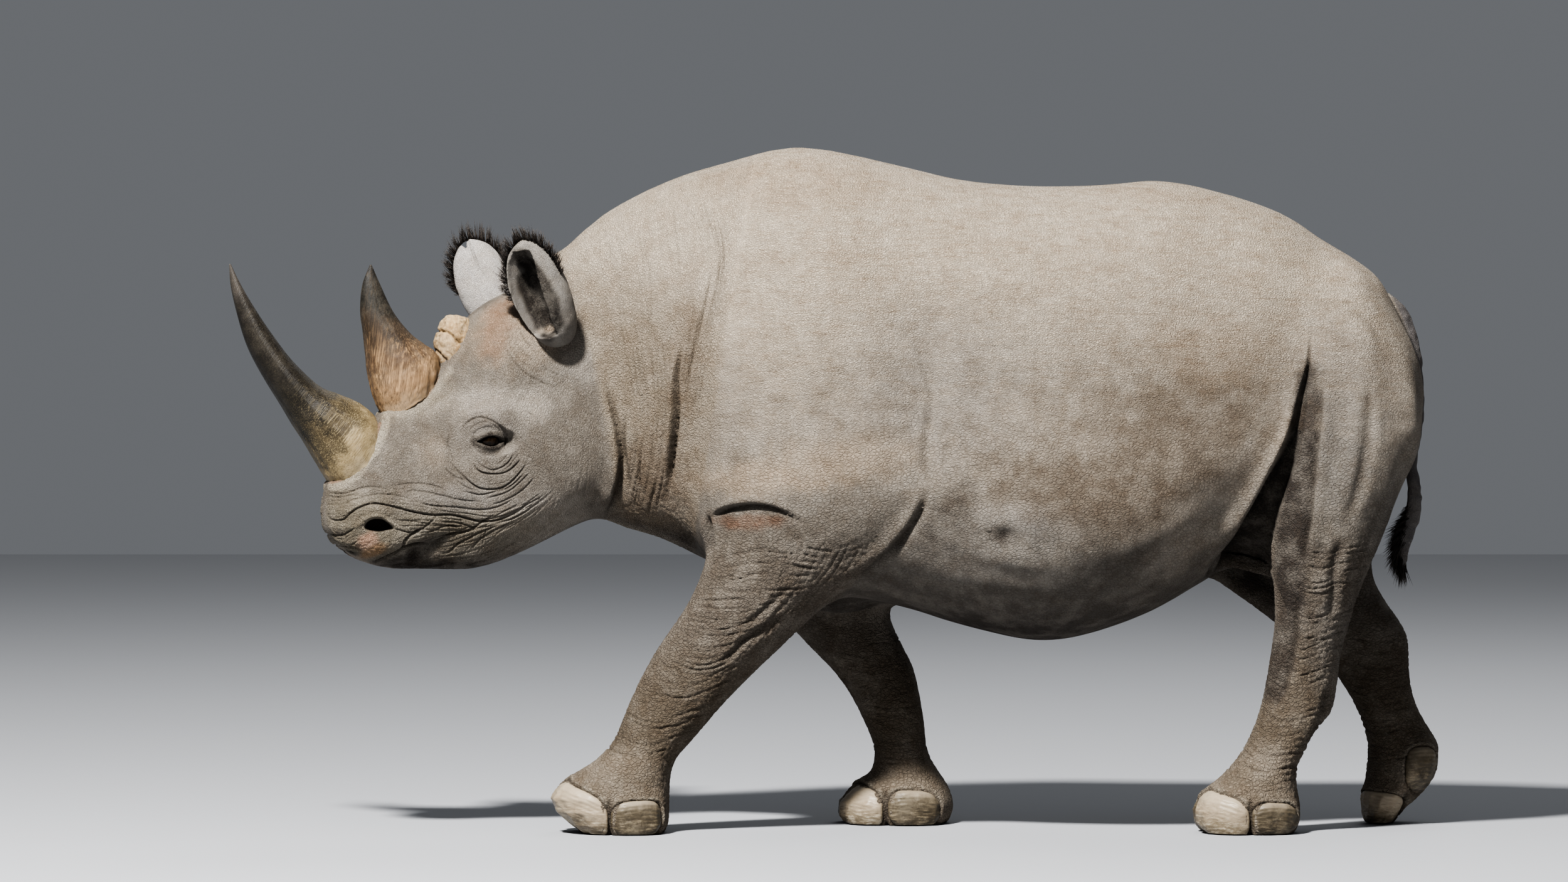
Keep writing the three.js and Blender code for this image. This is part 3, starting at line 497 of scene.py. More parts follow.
def grooveShape(d):
    return -np.exp(-d * d) + 0.28 * np.exp(-((np.abs(d) - 2.1) / 1.1) ** 2)


def drapeShape(d):
    # full on the left of the line, tucked in on its right
    full = np.where(d < 0, 0.75 * np.exp(-((d + 1.7) / 1.9) ** 2), 0)
    return full - np.exp(-(d / np.where(d < 0, 0.55, 1.25)) ** 2)


def alongRun(share, values):
    # one number, or a row of numbers spread evenly along a line
    count = max(np.size(values), 2)
    return np.interp(share, np.linspace(0, 1, count), np.broadcast_to(values, count))


def spot(dots, place, size, lean):
    # where dots lie on a leaning oval: along it and across it, 1 at its edge
    rel = dots - place
    c, s = math.cos(math.radians(lean)), math.sin(math.radians(lean))
    return (c * rel[:, 0] + s * rel[:, 1]) / size[0], (-s * rel[:, 0] + c * rel[:, 1]) / size[1]


class Relief:
    def __init__(self, mesh):
        self.mesh = mesh
        self.verts, self.normals = vertsOf(mesh), normalsOf(mesh)
        self.height = np.zeros(len(self.verts))
        self.creaseShade = np.zeros(len(self.verts))
        faceDots = toSketch(fromHead(nearSide(toHead(self.verts))))
        sideDots = toSketch(nearSide(self.verts))
        across = np.abs(turned(self.normals, -headTurn["yaw"])[:, 1])
        outward = ease(np.abs(self.normals[:, 1]), 0.10, 0.45)
        self.views = {
            "head": (faceDots, shares["head"] * ease(across, 0.08, 0.5)),
            "muzzle": (faceDots, shares["head"] * ease(across, 0.0, 0.25)),
            "body": (sideDots, np.clip(shares["torso"] + shares["neck"], 0, 1) * outward),
            "side": (sideDots, (1 - shares["head"]) * outward),
        }
        for node in (*legNodes, "ear_left", "ear_right", "tail"):
            self.views[node] = (toSketch(self.verts), shares[node])

    def press(self, view, line, depth, width, shape=grooveShape, fade=0.2, creaseShade=1.0):
        # depth and width in mm, each one number or a row of numbers along the line
        dots, weight = self.views[view]
        path = smoothLine(line)
        reach = 5 * np.max(width) / (sketch["dot"] * 1000)
        low, high = path.min(0) - reach, path.max(0) + reach
        here = np.flatnonzero((weight > 0.01) & (dots > low).all(1) & (dots < high).all(1))
        if not len(here):
            return
        d, share = acrossLine(dots[here], path)
        along, wide = alongRun(share, depth), alongRun(share, width)
        ends = ease(share, -0.001, fade) * ease(share, 1.001, 1 - fade)
        ratio = d * sketch["dot"] * 1000 / wide
        self.height[here] += weight[here] * ends * along * shape(ratio) / 1000
        # painted shade: the skin is darkened along the middle of each crease
        self.creaseShade[here] += creaseShade * weight[here] * ends * np.minimum(along / 6, 1) * np.exp(-(ratio / 0.8) ** 2)

    def swell(self, view, place, size, rise, lean=0):
        dots, weight = self.views[view]
        along, across = spot(dots, place, size, lean)
        self.height += weight * rise / 1000 * np.exp(-along ** 2 - across ** 2)

    def family(self, view, guides, count, depth, width, seed, wobble=3.0, cover=0.75, fade=0.3):
        # wrinkles that change smoothly from each guide line to the next, broken up at random
        rand = np.random.default_rng(seed)
        points = 12  # along each wrinkle
        rows = []
        for guide in guides:
            path = smoothLine(guide)
            runs = np.concatenate([[0], np.cumsum(np.hypot(*np.diff(path, axis=0).T))])
            t = np.linspace(0, runs[-1], points)
            rows.append(np.stack([np.interp(t, runs, path[:, k]) for k in (0, 1)], 1))
        rows = np.array(rows)
        for k in range(count):
            at = (k + 0.5 + rand.uniform(-0.3, 0.3)) / count * (len(rows) - 1)
            low = min(int(at), len(rows) - 2)
            line = rows[low] + (rows[low + 1] - rows[low]) * (at - low)
            line = line + np.cumsum(rand.normal(0, wobble / 3, (points, 2)), 0) * [0.6, 1]
            line = line + rand.normal(0, wobble / 4, 2)
            start = 0
            while start < points - 2:
                length = int(rand.integers(4, points))
                end = min(start + length, points)
                if end - start >= 3 and rand.random() < cover:
                    self.press(view, line[start:end], depth * rand.uniform(0.5, 1.3),
                               width * rand.uniform(0.7, 1.2), fade=fade)
                start = end - 1 + int(rand.integers(0, 2))

    def apply(self):
        # the swollen toes don't sink below the floor
        verts = self.verts + self.normals * self.height[:, None]
        verts[:, 2] = np.maximum(verts[:, 2], 0)
        setVerts(self.mesh, verts)


relief = Relief(skin.data)

# big forms first
swells = [
    # view, place, size in dots, rise in mm, lean
    ("head", (775, 668), (62, 26), 10, -8), ("head", (778, 712), (62, 44), -9, 0),
    ("head", (900, 700), (70, 95), 9, 0), ("head", (690, 790), (70, 34), 6, -10),
    ("head", (590, 815), (62, 44), 7, -15), ("head", (560, 880), (40, 26), 6, 10),
    ("head", (720, 640), (60, 40), -5, 0), ("head", (850, 640), (60, 30), -4, 10),
    ("head", (740, 898), (60, 16), 6, -8), ("muzzle", (684, 872), (36, 13), -11, -22),
    ("muzzle", (600, 812), (34, 14), 5, 0), ("muzzle", (618, 868), (34, 16), 5, -20),
    ("muzzle", (548, 815), (20, 10), 3, 0), ("muzzle", (545, 840), (24, 8), 3, 0),
    ("muzzle", (550, 862), (24, 8), 3, 0), ("body", (1270, 520), (150, 200), 7, 10),
    ("body", (1400, 640), (70, 120), 8, 0), ("body", (1486, 660), (26, 150), -10, 0),
    ("body", (1760, 620), (230, 200), 8, 0), ("body", (2010, 560), (60, 190), 9, 8),
    ("side", (2150, 520), (60, 110), 10, 15), ("side", (2220, 620), (40, 170), -6, 5),
    ("side", (2140, 690), (22, 150), -7, 4), ("body", (1110, 640), (26, 170), -7, 6),
    ("body", (1660, 470), (16, 90), -2, 0), ("body", (1590, 560), (18, 120), -2, 5),
    ("body", (1040, 730), (24, 90), 10, 4), ("body", (1160, 560), (60, 150), 6, 10),
    ("side", (1200, 784), (100, 24), 6, 4), ("side", (1330, 860), (60, 60), 6, -40),
    ("side", (2048, 900), (24, 50), 9, 0), ("body", (1640, 880), (150, 90), 5, 0),
    ("body", (1560, 700), (40, 130), -5, -8), ("body", (1604, 856), (22, 14), -13, 10),
    ("body", (1612, 892), (46, 15), 5, 10), ("body", (1618, 826), (50, 14), 3, 8),
]
for swell in swells:
    relief.swell(*swell)

# the deep folds; the one behind the cheek crosses from the head to the neck
cheekFold = ([(960, 832), (979, 795), (990, 745), (986, 700), (974, 645), (956, 600)],
             (8, 16, 18, 16, 10, 3), (8, 9, 8, 7, 6, 4), drapeShape)
folds = [
    # view, line, depth, width, shape
    ("side", [(1924, 913), (1957, 871), (1995, 814), (2030, 749), (2058, 688), (2072, 634), (2086, 581),
              (2091, 505)], (16, 18, 18, 16, 12, 3), (12, 10, 8, 6, 4, 3), drapeShape),
    ("side", [(2108, 583), (2106, 659), (2096, 742), (2090, 818), (2079, 877), (2070, 930)],
     (3, 8, 11, 11, 7), (6, 8, 9, 9, 8), drapeShape),
    ("side", [(2181, 600), (2181, 685), (2172, 755), (2159, 800), (2143, 845)], (4, 9, 11, 9, 4),
     (9, 12, 13, 12, 9), grooveShape),
    ("side", [(2150, 500), (2185, 520), (2205, 560)], (2, 3, 2), (7, 8, 7), grooveShape),
    ("side", [(1129, 827), (1143, 819), (1168, 809), (1206, 804), (1237, 810), (1262, 822), (1292, 837)],
     (7, 13, 16, 14, 10, 5, 2), (4, 5.5, 6, 6, 5.5, 5, 5), drapeShape),
    ("side", [(1128, 818), (1131, 845), (1133, 875), (1126, 905)], (10, 20, 20, 8), (5, 8, 8, 6),
     grooveShape),
    ("body", [(1455, 531), (1478, 611), (1480, 660), (1474, 715), (1476, 780)], (1, 3, 4, 5, 8),
     (4, 5, 6, 8, 10), grooveShape),
    ("side", [(1352, 930), (1397, 896), (1430, 866), (1464, 818), (1478, 770)], (3, 9, 14, 14, 5),
     (8, 9, 10, 9, 7), drapeShape),
    ("body", [(1067, 790), (1071, 730), (1077, 669), (1078, 600), (1088, 540)], (10, 18, 20, 14, 5),
     (5.5, 5.5, 5.5, 5, 4), drapeShape),
    ("body", [(1122, 480), (1112, 525), (1099, 581), (1089, 625)], (1.5, 4, 5, 3), (4, 5, 5, 4),
     grooveShape),
    ("body", [(998, 655), (994, 707), (999, 748), (1007, 790)], (3, 7, 8, 4), (4, 5, 5, 4), grooveShape),
    ("body", [(1022, 700), (1020, 750), (1026, 800)], (2, 4, 2), (4, 4, 4), grooveShape),
    ("side", *cheekFold), ("head", *cheekFold),
    ("ear_right", [(744, 378), (752, 398), (760, 418), (767, 438)], (5, 5, 3), (2.2, 2.2, 2), grooveShape),
    ("side", [(1311, 972), (1354, 946), (1402, 953)], (5, 9, 5), (6, 7, 6), grooveShape),
    ("front_left_leg", [(1140, 1066), (1168, 1041), (1190, 1020), (1222, 1000), (1260, 975)],
     (3, 7, 8, 6, 3), (5, 7, 8, 8, 6), grooveShape),
    ("front_left_leg", [(1180, 1000), (1215, 975), (1262, 930)], (2, 4, 2), (6, 7, 6), grooveShape),
    ("hind_left_leg", [(2073, 940), (2066, 1000), (2058, 1060), (2040, 1130)], (4, 6, 6, 3), (8, 10, 10, 8),
     drapeShape),
    ("hind_left_leg", [(2118, 1090), (2106, 1150), (2080, 1196)], (4, 6, 4), (8, 9, 8), grooveShape),
    ("hind_left_leg", [(2144, 850), (2128, 900), (2126, 950), (2118, 1000)], (4, 7, 6, 3), (10, 12, 11, 9),
     grooveShape),
]
for view, line, depth, width, shape in folds:
    relief.press(view, line, depth, width, shape, creaseShade=0.75 if view == "body" else 0.55)

# the hollow between the flank and the thigh: height on the sketch, its front edge and its rear edge
hollow = {"depth": 0.034, "rows": [
    (519, 2090, 2091), (581, 2086, 2091), (634, 2072, 2086), (688, 2058, 2079), (749, 2030, 2063),
    (814, 1995, 2040), (871, 1957, 2026), (913, 1924, 2030), (955, 1930, 2046), (1000, 1990, 2060)]}
dots, weight = relief.views["side"]
front, rear = [np.interp(dots[:, 1], *zip(*[(row[0], row[k]) for row in hollow["rows"]])) for k in (1, 2)]
hollowMask = (weight * ease(dots[:, 0] - front, -1, 5) * ease(rear - dots[:, 0], -2, 7)
              * ease(dots[:, 1], 515, 560) * ease(dots[:, 1], 1000, 940))
relief.height -= hollow["depth"] * hollowMask * ease(rear - front, 0, 40)
print("folds drawn")

# the face: folds round the eye, over the nostril and along the mouth
faceLines = [
    # depth, width in mm, line
    (5.0, 3.2, [(737, 690), (743, 676), (761, 666), (777, 668), (797, 679), (812, 693), (827, 708)]),
    (2.6, 2.4, [(745, 695), (754, 680), (775, 673), (794, 682), (808, 697)]),
    (1.8, 2.2, [(751, 697), (762, 685), (780, 681), (796, 690)]),
    (4.0, 2.8, [(757, 727), (764, 740), (777, 748), (787, 750), (800, 746), (810, 739), (817, 729),
                (825, 718)]),
    (5.0, 3.0, [(749, 729), (755, 742), (764, 752), (777, 756), (797, 756), (812, 751), (825, 739),
                (836, 727)]),
    (2.6, 2.4, [(792, 742), (803, 734), (812, 722)]),
    (2.6, 2.4, [(800, 752), (812, 744), (820, 733), (829, 722)]),
    (5.5, 3.2, [(713, 729), (725, 746), (738, 759), (754, 773), (771, 780), (797, 779), (815, 769),
                (828, 755), (846, 734)]),
    (3.6, 2.8, [(706, 744), (725, 760), (745, 766)]),
    (3.4, 2.8, [(716, 690), (714, 706), (719, 724), (726, 738)]),
    (3.8, 2.8, [(731, 782), (751, 786), (767, 789), (790, 784), (810, 778), (828, 763), (842, 746)]),
    (3.4, 2.8, [(771, 796), (790, 791), (810, 784), (829, 769), (848, 750)]),
    (3.0, 2.6, [(780, 806), (805, 798), (832, 782), (855, 758)]),
    (4.0, 3.0, [(517, 781), (532, 787), (552, 786), (574, 779), (592, 776), (620, 781)]),
    (3.0, 2.6, [(520, 789), (535, 793), (553, 791), (575, 786)]),
    (3.0, 2.6, [(549, 805), (561, 798), (580, 793), (602, 788), (630, 790), (660, 797)]),
    (7.0, 3.6, [(515, 806), (522, 821), (533, 829), (549, 828), (557, 821), (567, 813), (582, 806),
                (594, 803), (614, 805), (639, 811), (663, 817), (690, 821), (720, 821), (745, 827),
                (768, 832), (800, 828), (830, 812), (852, 790)]),
    (5.0, 3.0, [(520, 851), (545, 852), (557, 847), (564, 843), (568, 838)]),
    (4.5, 3.0, [(533, 870), (549, 868), (565, 869), (580, 876)]),
    (8.0, 4.0, [(534, 880), (553, 877), (568, 880)]),
    (4.5, 3.0, [(626, 842), (639, 845), (649, 848), (663, 847), (676, 841), (688, 831), (697, 822)]),
    (8.0, 4.6, [(641, 876), (645, 862), (655, 853), (673, 843)]),
    (9.0, 4.4, [(575, 899), (598, 895), (614, 887), (631, 880), (646, 872), (664, 868), (690, 872)]),
    (6.0, 3.6, [(688, 872), (704, 861), (717, 853), (745, 847), (766, 835), (792, 818)]),
    (5.0, 3.2, [(700, 884), (716, 880), (730, 868), (748, 858), (772, 846), (800, 836)]),
    (4.5, 3.2, [(749, 878), (763, 862), (782, 849), (800, 840), (826, 828)]),
    (4.0, 3.0, [(680, 850), (697, 843), (716, 838), (735, 842)]),
    (4.0, 3.0, [(700, 832), (722, 832), (745, 838), (760, 845)]),
    (3.6, 3.0, [(655, 800), (690, 806), (730, 809), (765, 813), (795, 808), (826, 792)]),
    (3.4, 2.8, [(640, 786), (665, 783), (700, 789), (735, 797), (770, 800)]),
    (3.2, 2.8, [(620, 776), (655, 771), (690, 774), (715, 784)]),
    (3.0, 2.6, [(712, 752), (735, 772), (760, 784)]),
    (3.0, 2.8, [(724, 902), (760, 894), (800, 878), (840, 852)]),
    (3.0, 2.8, [(650, 905), (690, 900), (730, 892)]), (4.0, 3.4, [(610, 905), (640, 900), (668, 898)]),
    (4.0, 3.2, [(590, 902), (600, 908), (612, 914)]), (3.0, 3.0, [(655, 912), (664, 906), (668, 898)]),
    (3.0, 3.0, [(706, 914), (716, 908), (724, 900)]), (2.4, 2.4, [(836, 655), (852, 665), (862, 680)]),
    (2.2, 2.4, [(700, 690), (712, 712), (716, 735)]),
]
for depth, width, line in faceLines:
    relief.press("muzzle", line, depth * 0.62, width * 0.58, grooveShape, creaseShade=1.1)
    relief.press("muzzle", line, depth * 0.30, width * 1.7, grooveShape, creaseShade=0.15)

# a nostril that droops at its ends and narrows toward the rear, with a raised rim above; sizes in dots,
# depth and rim in metres
nostril = {"place": (604, 839), "size": (21.5, 10.5), "lean": 4, "droop": 3, "up": 2, "narrow": 0.40,
           "depth": 0.026, "rim": 0.005}
dots, weight = relief.views["muzzle"]
rel = dots - nostril["place"]
along, over = spot(dots, nostril["place"], (1, 1), nostril["lean"])
over += nostril["up"] - nostril["droop"] * (rel[:, 0] / 20) ** 2
across = np.hypot(along / nostril["size"][0],
                  over / nostril["size"][1] / (1 - nostril["narrow"] * ease(rel[:, 0], 0, 24)))
nostrilMask = weight * ease(across, 1.12, 0.80)
relief.height += weight * (nostril["rim"] * np.exp(-((across - 1.5) / 0.35) ** 2) * ease(rel[:, 1], 8, -6))
relief.height = relief.height * (1 - nostrilMask) - nostril["depth"] * nostrilMask

# a rough crust of skin round the foot of each horn: view, line, half breadth in dots, rise and
# lumps in metres (height, size, seed)
crusts = {
    "front": ("muzzle",
              [(512, 775), (530, 775), (546, 772), (569, 758), (589, 731), (604, 705), (613, 679),
               (617, 655)],
              7, 0.0025, [(0.0018, 0.007, 36), (0.0014, 0.0035, 37)]),
    "rear": ("head",
             [(596, 662), (622, 659), (652, 655), (684, 637), (704, 606), (716, 590)],
             6, 0.0018, [(0.0018, 0.008, 38)]),
}
for view, line, breadth, rise, lumps in crusts.values():
    dots, weight = relief.views[view]
    crustShare = weight * np.exp(-(acrossLine(dots, smoothLine(line))[0] / breadth) ** 2)
    for high, size, seed in lumps:
        rise = rise + high * cloudy(relief.verts / size, seed)
    relief.height += crustShare * rise
print("face drawn")

feet = {
    # the foot's middle, and its nails: bearing, height, half breadth, half height in mm, lean, own middle
    "front_left": {"middle": (-0.517, -0.158), "nails": [
        (216, 54, 92, 56, -0.24, -0.517), (293, 38, 60, 42, 0.04, -0.517), (134, 46, 60, 46, 0.1, -0.517)]},
    "front_right": {"middle": (0.138, 0.158), "nails": [
        (217, 42, 72, 48, -0.12, 0.138), (287, 38, 60, 44, -0.06, 0.138), (150, 40, 64, 44, 0.1, 0.138)]},
    "hind_left": {"middle": (0.948, -0.156), "nails": [
        (227, 44, 84, 50, -0.16, 0.948), (299, 36, 58, 38, -0.05, 0.948), (152, 38, 58, 42, 0.1, 0.948)]},
    "hind_right": {"middle": (1.304, 0.164), "nails": [
        (240, 36, 122, 42, 0, 1.276), (298, 128, 54, 54, 0, 1.318), (72, 128, 54, 54, 0, 1.318)]},
}
nail = {"thickness": 0.0125, "sunk": 0.006, "square": 2.9, "radius": 0.118, "around": 88, "ridgeGap": 1.5,
        "ridge": 0.00045, "rough": 0.0010, "lump": 0.0016, "names": ("middle", "nearside", "offside")}


def nailPlace(points, foot, row):
    # where points near a foot lie on a nail: across, up, and how far out from its middle (1 at its edge)
    bearing, height, halfBreadth, halfHeight, lean, middleX = row
    angle = np.degrees(np.arctan2(points[:, 1] - feet[foot]["middle"][1], points[:, 0] - middleX))
    across = np.radians((angle - bearing + 180) % 360 - 180) * nail["radius"] * 1000
    up = points[:, 2] * 1000 - height - lean * across
    total = (np.abs(across) / halfBreadth) ** nail["square"] + (np.abs(up) / halfHeight) ** nail["square"]
    return across, up, total ** (1 / nail["square"])


def makeNail(foot, row, name):
    bearing, height, halfBreadth, halfHeight, lean, middleX = row
    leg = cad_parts[foot + "_leg"]
    tree = BVHTree.FromPolygons([v.co[:] for v in leg.data.vertices],
                                [f.vertices[:] for f in leg.data.polygons])
    turn = np.linspace(0, 2 * np.pi, nail["around"], endpoint=False)

    def rounded(v):
        return np.sign(v) * np.abs(v) ** (2 / nail["square"])

    def ring(share, rise):
        # a ring of the nail's surface, flat and then wrapped on the foot
        breadths = share * halfBreadth * rounded(np.cos(turn))
        heights = share * halfHeight * rounded(np.sin(turn))
        points = []
        for a, b in zip(breadths, heights):
            angle = math.radians(bearing) + a / nail["radius"] / 1000
            out = Vector((math.cos(angle), math.sin(angle), 0))
            start = Vector((middleX, feet[foot]["middle"][1], max((height + b + lean * a) / 1000, 0.002)))
            hit = tree.ray_cast(start + out * 0.35, -out)[0]
            points.append(hit + out * rise)
        return np.array(points), np.stack([breadths, heights], 1)

    shares = np.concatenate([[1, 1], np.sqrt(1 - np.linspace(0.02, 1, 40) ** 2 * 0.998)])
    rises = np.concatenate([[-0.02, -nail["sunk"]], nail["thickness"] * (1 - shares[2:] ** 5) ** 0.5])
    rows = [ring(share, rise) for share, rise in zip(shares, rises)]
    world, local = np.array([r[0] for r in rows]), np.array([r[1] for r in rows])
    # growth ridges that lie along the upper edge, worn flat low down
    flat = local.reshape(-1, 2)
    seedPlace = np.column_stack([flat, np.full(len(flat), bearing)])
    crown = np.hypot(flat[:, 0] * 0.55, flat[:, 1] + halfHeight * 1.1)
    fresh = ease(flat[:, 1], -halfHeight * 0.7, halfHeight * 0.2)
    ridge = np.sin(crown / nail["ridgeGap"] + 1.6 * cloudy(seedPlace / 16, 7)) * fresh
    bump = (nail["ridge"] * ridge + nail["rough"] * cloudy(seedPlace / 9, 8)
            + nail["lump"] * cloudy(seedPlace / 26, 9))
    bump = bump.reshape(local.shape[:2])
    bump[:2] = 0
    centre = np.array([middleX, feet[foot]["middle"][1], 0])
    outward = unit((world - centre) * [1, 1, 0])
    world = world + outward * bump[..., None]
    world[..., 2] = np.maximum(world[..., 2], 0.0006)
    piece = closedPiece(name, world)
    lift = np.concatenate([0.5 - 0.5 * flat[:, 1] / halfHeight, [0.5, 0.5]])
    setValues(piece.data, "run", lift)
    return piece


nails = {}
for foot, place in feet.items():
    for row, which in zip(place["nails"], nail["names"]):
        nails[foot + "_nail_" + which] = makeNail(foot, row, foot + "_toenail_" + which)
print("nails made")

# toes swell round their nails, with a rim of cuticle and a cleft between each two; heights in metres,
# the cleft's half breadth and where it fades in mm
toe = {"swell": 0.006, "rim": 0.0035, "groove": 0.004, "cleft": 0.015, "cleftHalf": 7.5,
       "cleftFade": (46, 22)}
cuticle = np.zeros(len(relief.verts))
for foot, place in feet.items():
    share = shares[foot + "_leg"] * ease(relief.verts[:, 2], 0.30, 0.22)
    for row in place["nails"]:
        across, up, out = nailPlace(relief.verts, foot, row)
        upper = ease(up, -row[3] * 0.6, 0)
        relief.height += share * toe["swell"] * ease(out, 1.75, 1.15)
        relief.height += share * upper * toe["rim"] * np.exp(-((out - 1.10) / 0.07) ** 2)
        relief.height -= share * toe["groove"] * np.exp(-((out - 1.0) / 0.05) ** 2)
        cuticle = np.maximum(cuticle, share * upper * np.exp(-((out - 1.09) / 0.08) ** 2))
        # painted shade in the groove round each nail
        relief.creaseShade += share * 0.9 * np.exp(-((out - 1.0) / 0.045) ** 2)
    one, *others = place["nails"]
    for other in others:
        way = math.copysign(1, other[0] - one[0])
        ends = [one[0] + math.degrees(one[2] / (nail["radius"] * 1000)) * way,
                other[0] - math.degrees(other[2] / (nail["radius"] * 1000)) * way]
        cleft = (sum(ends) / 2, min(one[1], other[1]) + 4, 6, 50, 0, (one[5] + other[5]) / 2)
        across, up, out = nailPlace(relief.verts, foot, cleft)
        deep = np.exp(-(across / toe["cleftHalf"]) ** 2) * ease(up, *toe["cleftFade"])
        relief.height -= share * toe["cleft"] * deep
        # painted shade in the cleft between two toes
        relief.creaseShade += share * 1.1 * deep
print("toes shaped")

# wrinkle families
families = [
    # view, guide lines, count, depth, width, seed
    ("body", [[(1000, 560), (1010, 640), (1008, 720), (990, 815)],
              [(1062, 520), (1072, 620), (1066, 720), (1046, 815)]], 16, 2.3, 2.6, 3),
    ("body", [[(1085, 300), (1120, 400), (1098, 520), (1080, 620)],
              [(1150, 330), (1165, 420), (1140, 540), (1112, 680)]], 16, 2.0, 2.6, 4),
    ("body", [[(940, 400), (960, 520), (985, 620)], [(1080, 320), (1090, 440), (1070, 560)]],
     16, 1.4, 2.6, 5),
    ("body", [[(1486, 660), (1500, 740), (1480, 810)], [(1530, 680), (1545, 760), (1520, 850)]],
     7, 2.0, 3.6, 6),
    ("body", [[(1478, 700), (1520, 712), (1570, 705)], [(1470, 830), (1530, 842), (1600, 850)]],
     12, 1.5, 3.0, 7),
    ("side", [[(1130, 760), (1170, 740), (1240, 720), (1330, 700)],
              [(1140, 812), (1190, 790), (1260, 770), (1350, 760)]], 10, 0.8, 3.0, 8),
    ("front_left_leg", [[(1150, 880), (1230, 860), (1330, 880)], [(1060, 1030), (1130, 1050), (1220, 1010)],
                        [(950, 1190), (1010, 1215), (1090, 1200)]], 46, 2.4, 2.6, 9),
    ("front_left_leg", [[(1260, 850), (1220, 960), (1130, 1080)], [(1400, 830), (1340, 920), (1240, 1020)]],
     12, 1.6, 2.8, 10),
    ("front_right_leg", [[(1290, 1000), (1360, 1010), (1440, 1000)],
                         [(1390, 1150), (1430, 1160), (1480, 1150)],
                         [(1380, 1230), (1440, 1236), (1510, 1226)]], 26, 1.7, 2.6, 11),
    ("hind_left_leg", [[(2075, 850), (2110, 870), (2200, 850)], [(2040, 1010), (2080, 1030), (2150, 1000)],
                       [(1980, 1180), (2030, 1205), (2110, 1190)],
                       [(1930, 1250), (1990, 1262), (2060, 1255)]], 60, 1.9, 2.5, 12),
    ("hind_right_leg", [[(2130, 1000), (2190, 1010), (2250, 1000)],
                        [(2160, 1150), (2200, 1165), (2260, 1150)],
                        [(2170, 1230), (2230, 1240), (2290, 1220)]], 26, 1.7, 2.5, 13),
    # short creases that run out from the small hollow on the flank
    ("body", [[(1596, 868), (1600, 884), (1608, 904)], [(1618, 866), (1634, 882), (1652, 896)],
              [(1624, 856), (1648, 860), (1676, 862)]], 9, 1.8, 3.4, 14),
    ("body", [[(1586, 850), (1568, 846), (1548, 848)], [(1588, 860), (1572, 868), (1556, 882)]],
     5, 1.6, 3.4, 15),
    # below the eye
    ("head", [[(750, 722), (764, 742), (790, 748), (818, 734), (828, 716)],
              [(716, 712), (728, 756), (770, 792), (830, 780), (862, 730)]], 6, 0.9, 1.5, 20),
    # above the eye
    ("head", [[(740, 694), (750, 672), (780, 664), (806, 676), (822, 704)],
              [(716, 690), (728, 650), (770, 634), (816, 650), (846, 690)]], 6, 0.7, 1.4, 21),
    # from the muzzle back under the eye
    ("head", [[(600, 786), (660, 790), (720, 800), (790, 812), (860, 790)],
              [(600, 820), (660, 826), (740, 834), (810, 824), (880, 780)],
              [(640, 872), (690, 858), (760, 846), (830, 820), (890, 770)]], 16, 1.4, 1.5, 22),
    # from the mouth to the jaw
    ("head", [[(655, 868), (700, 852), (760, 830), (830, 800)],
              [(690, 886), (750, 876), (820, 850), (880, 806)],
              [(740, 902), (800, 890), (860, 862), (920, 810)]], 15, 1.3, 1.5, 23),
    # round the muzzle, below the horn
    ("muzzle", [[(512, 782), (545, 784), (585, 776), (620, 780)],
                [(512, 804), (545, 800), (580, 796), (630, 806)],
                [(516, 832), (540, 834), (566, 824), (590, 816)]], 10, 1.1, 1.4, 24),
    ("muzzle", [[(518, 846), (540, 850), (568, 842)], [(532, 872), (552, 874), (576, 862)]],
     6, 1.2, 1.4, 25),
    # arcs below the ear
    ("head", [[(830, 508), (838, 536), (862, 562), (902, 584)],
              [(796, 520), (810, 570), (850, 608), (906, 624)]], 11, 2.2, 2.0, 26),
    ("head", [[(870, 640), (880, 720), (870, 800), (840, 850)],
              [(960, 640), (975, 720), (962, 790), (930, 830)]], 9, 0.7, 1.8, 27),
    ("head", [[(640, 660), (650, 700), (640, 750)], [(730, 640), (720, 700), (700, 760)]], 6, 0.8, 1.8, 28),
    # short creases that cross the folds of the cheek and the lips
    ("muzzle", [[(620, 800), (650, 830), (668, 866)], [(760, 790), (780, 826), (770, 880)]],
     15, 0.9, 1.4, 29),
    ("muzzle", [[(720, 900), (770, 850), (850, 790)], [(800, 905), (860, 860), (930, 790)]],
     12, 0.9, 1.5, 30),
]
for view, guides, count, depth, width, seed in families:
    relief.family(view, guides, count, depth, width, seed)
print("wrinkles drawn")


# the mosaic of small plates between the wrinkles, where the mesh is fine enough to hold it
legWhole = np.clip(sum(shares[node] for node in legNodes), 0, 1)
legShare = legWhole * ease(relief.verts[:, 2], 0.86, 0.62)
dots, weight = relief.views["muzzle"]
plates = [
    # weight, cell size across and up in metres, depth in mm, seed
    (legShare, (0.019, 0.019, 0.013), 1.5, 31),
    (shares["neck"] * ease(relief.verts[:, 2], 1.3, 1.0), (0.014, 0.014, 0.026), 1.2, 32),
    (shares["head"], (0.0085, 0.0085, 0.0085), 0.26, 33),
    (weight * ease(dots[:, 0], 780, 640) * ease(dots[:, 1], 740, 790), (0.015, 0.015, 0.009), 0.9, 34),
]
for weight, cell, depth, seed in plates:
    here = np.flatnonzero(weight > 0.02)
    place = relief.verts[here]
    warp = np.stack([cloudy(place / 0.03, seed + 5 + k) for k in range(3)], 1) * 0.35
    gap = crackle(place / np.array(cell) + warp, seed)
    relief.height[here] -= weight[here] * depth / 1000 * (np.exp(-(gap / 0.16) ** 2) - 0.25)
relief.height += 0.0011 * cloudy(relief.verts / 0.16, 41) + 0.0007 * cloudy(relief.verts / 0.06, 42)
relief.apply()
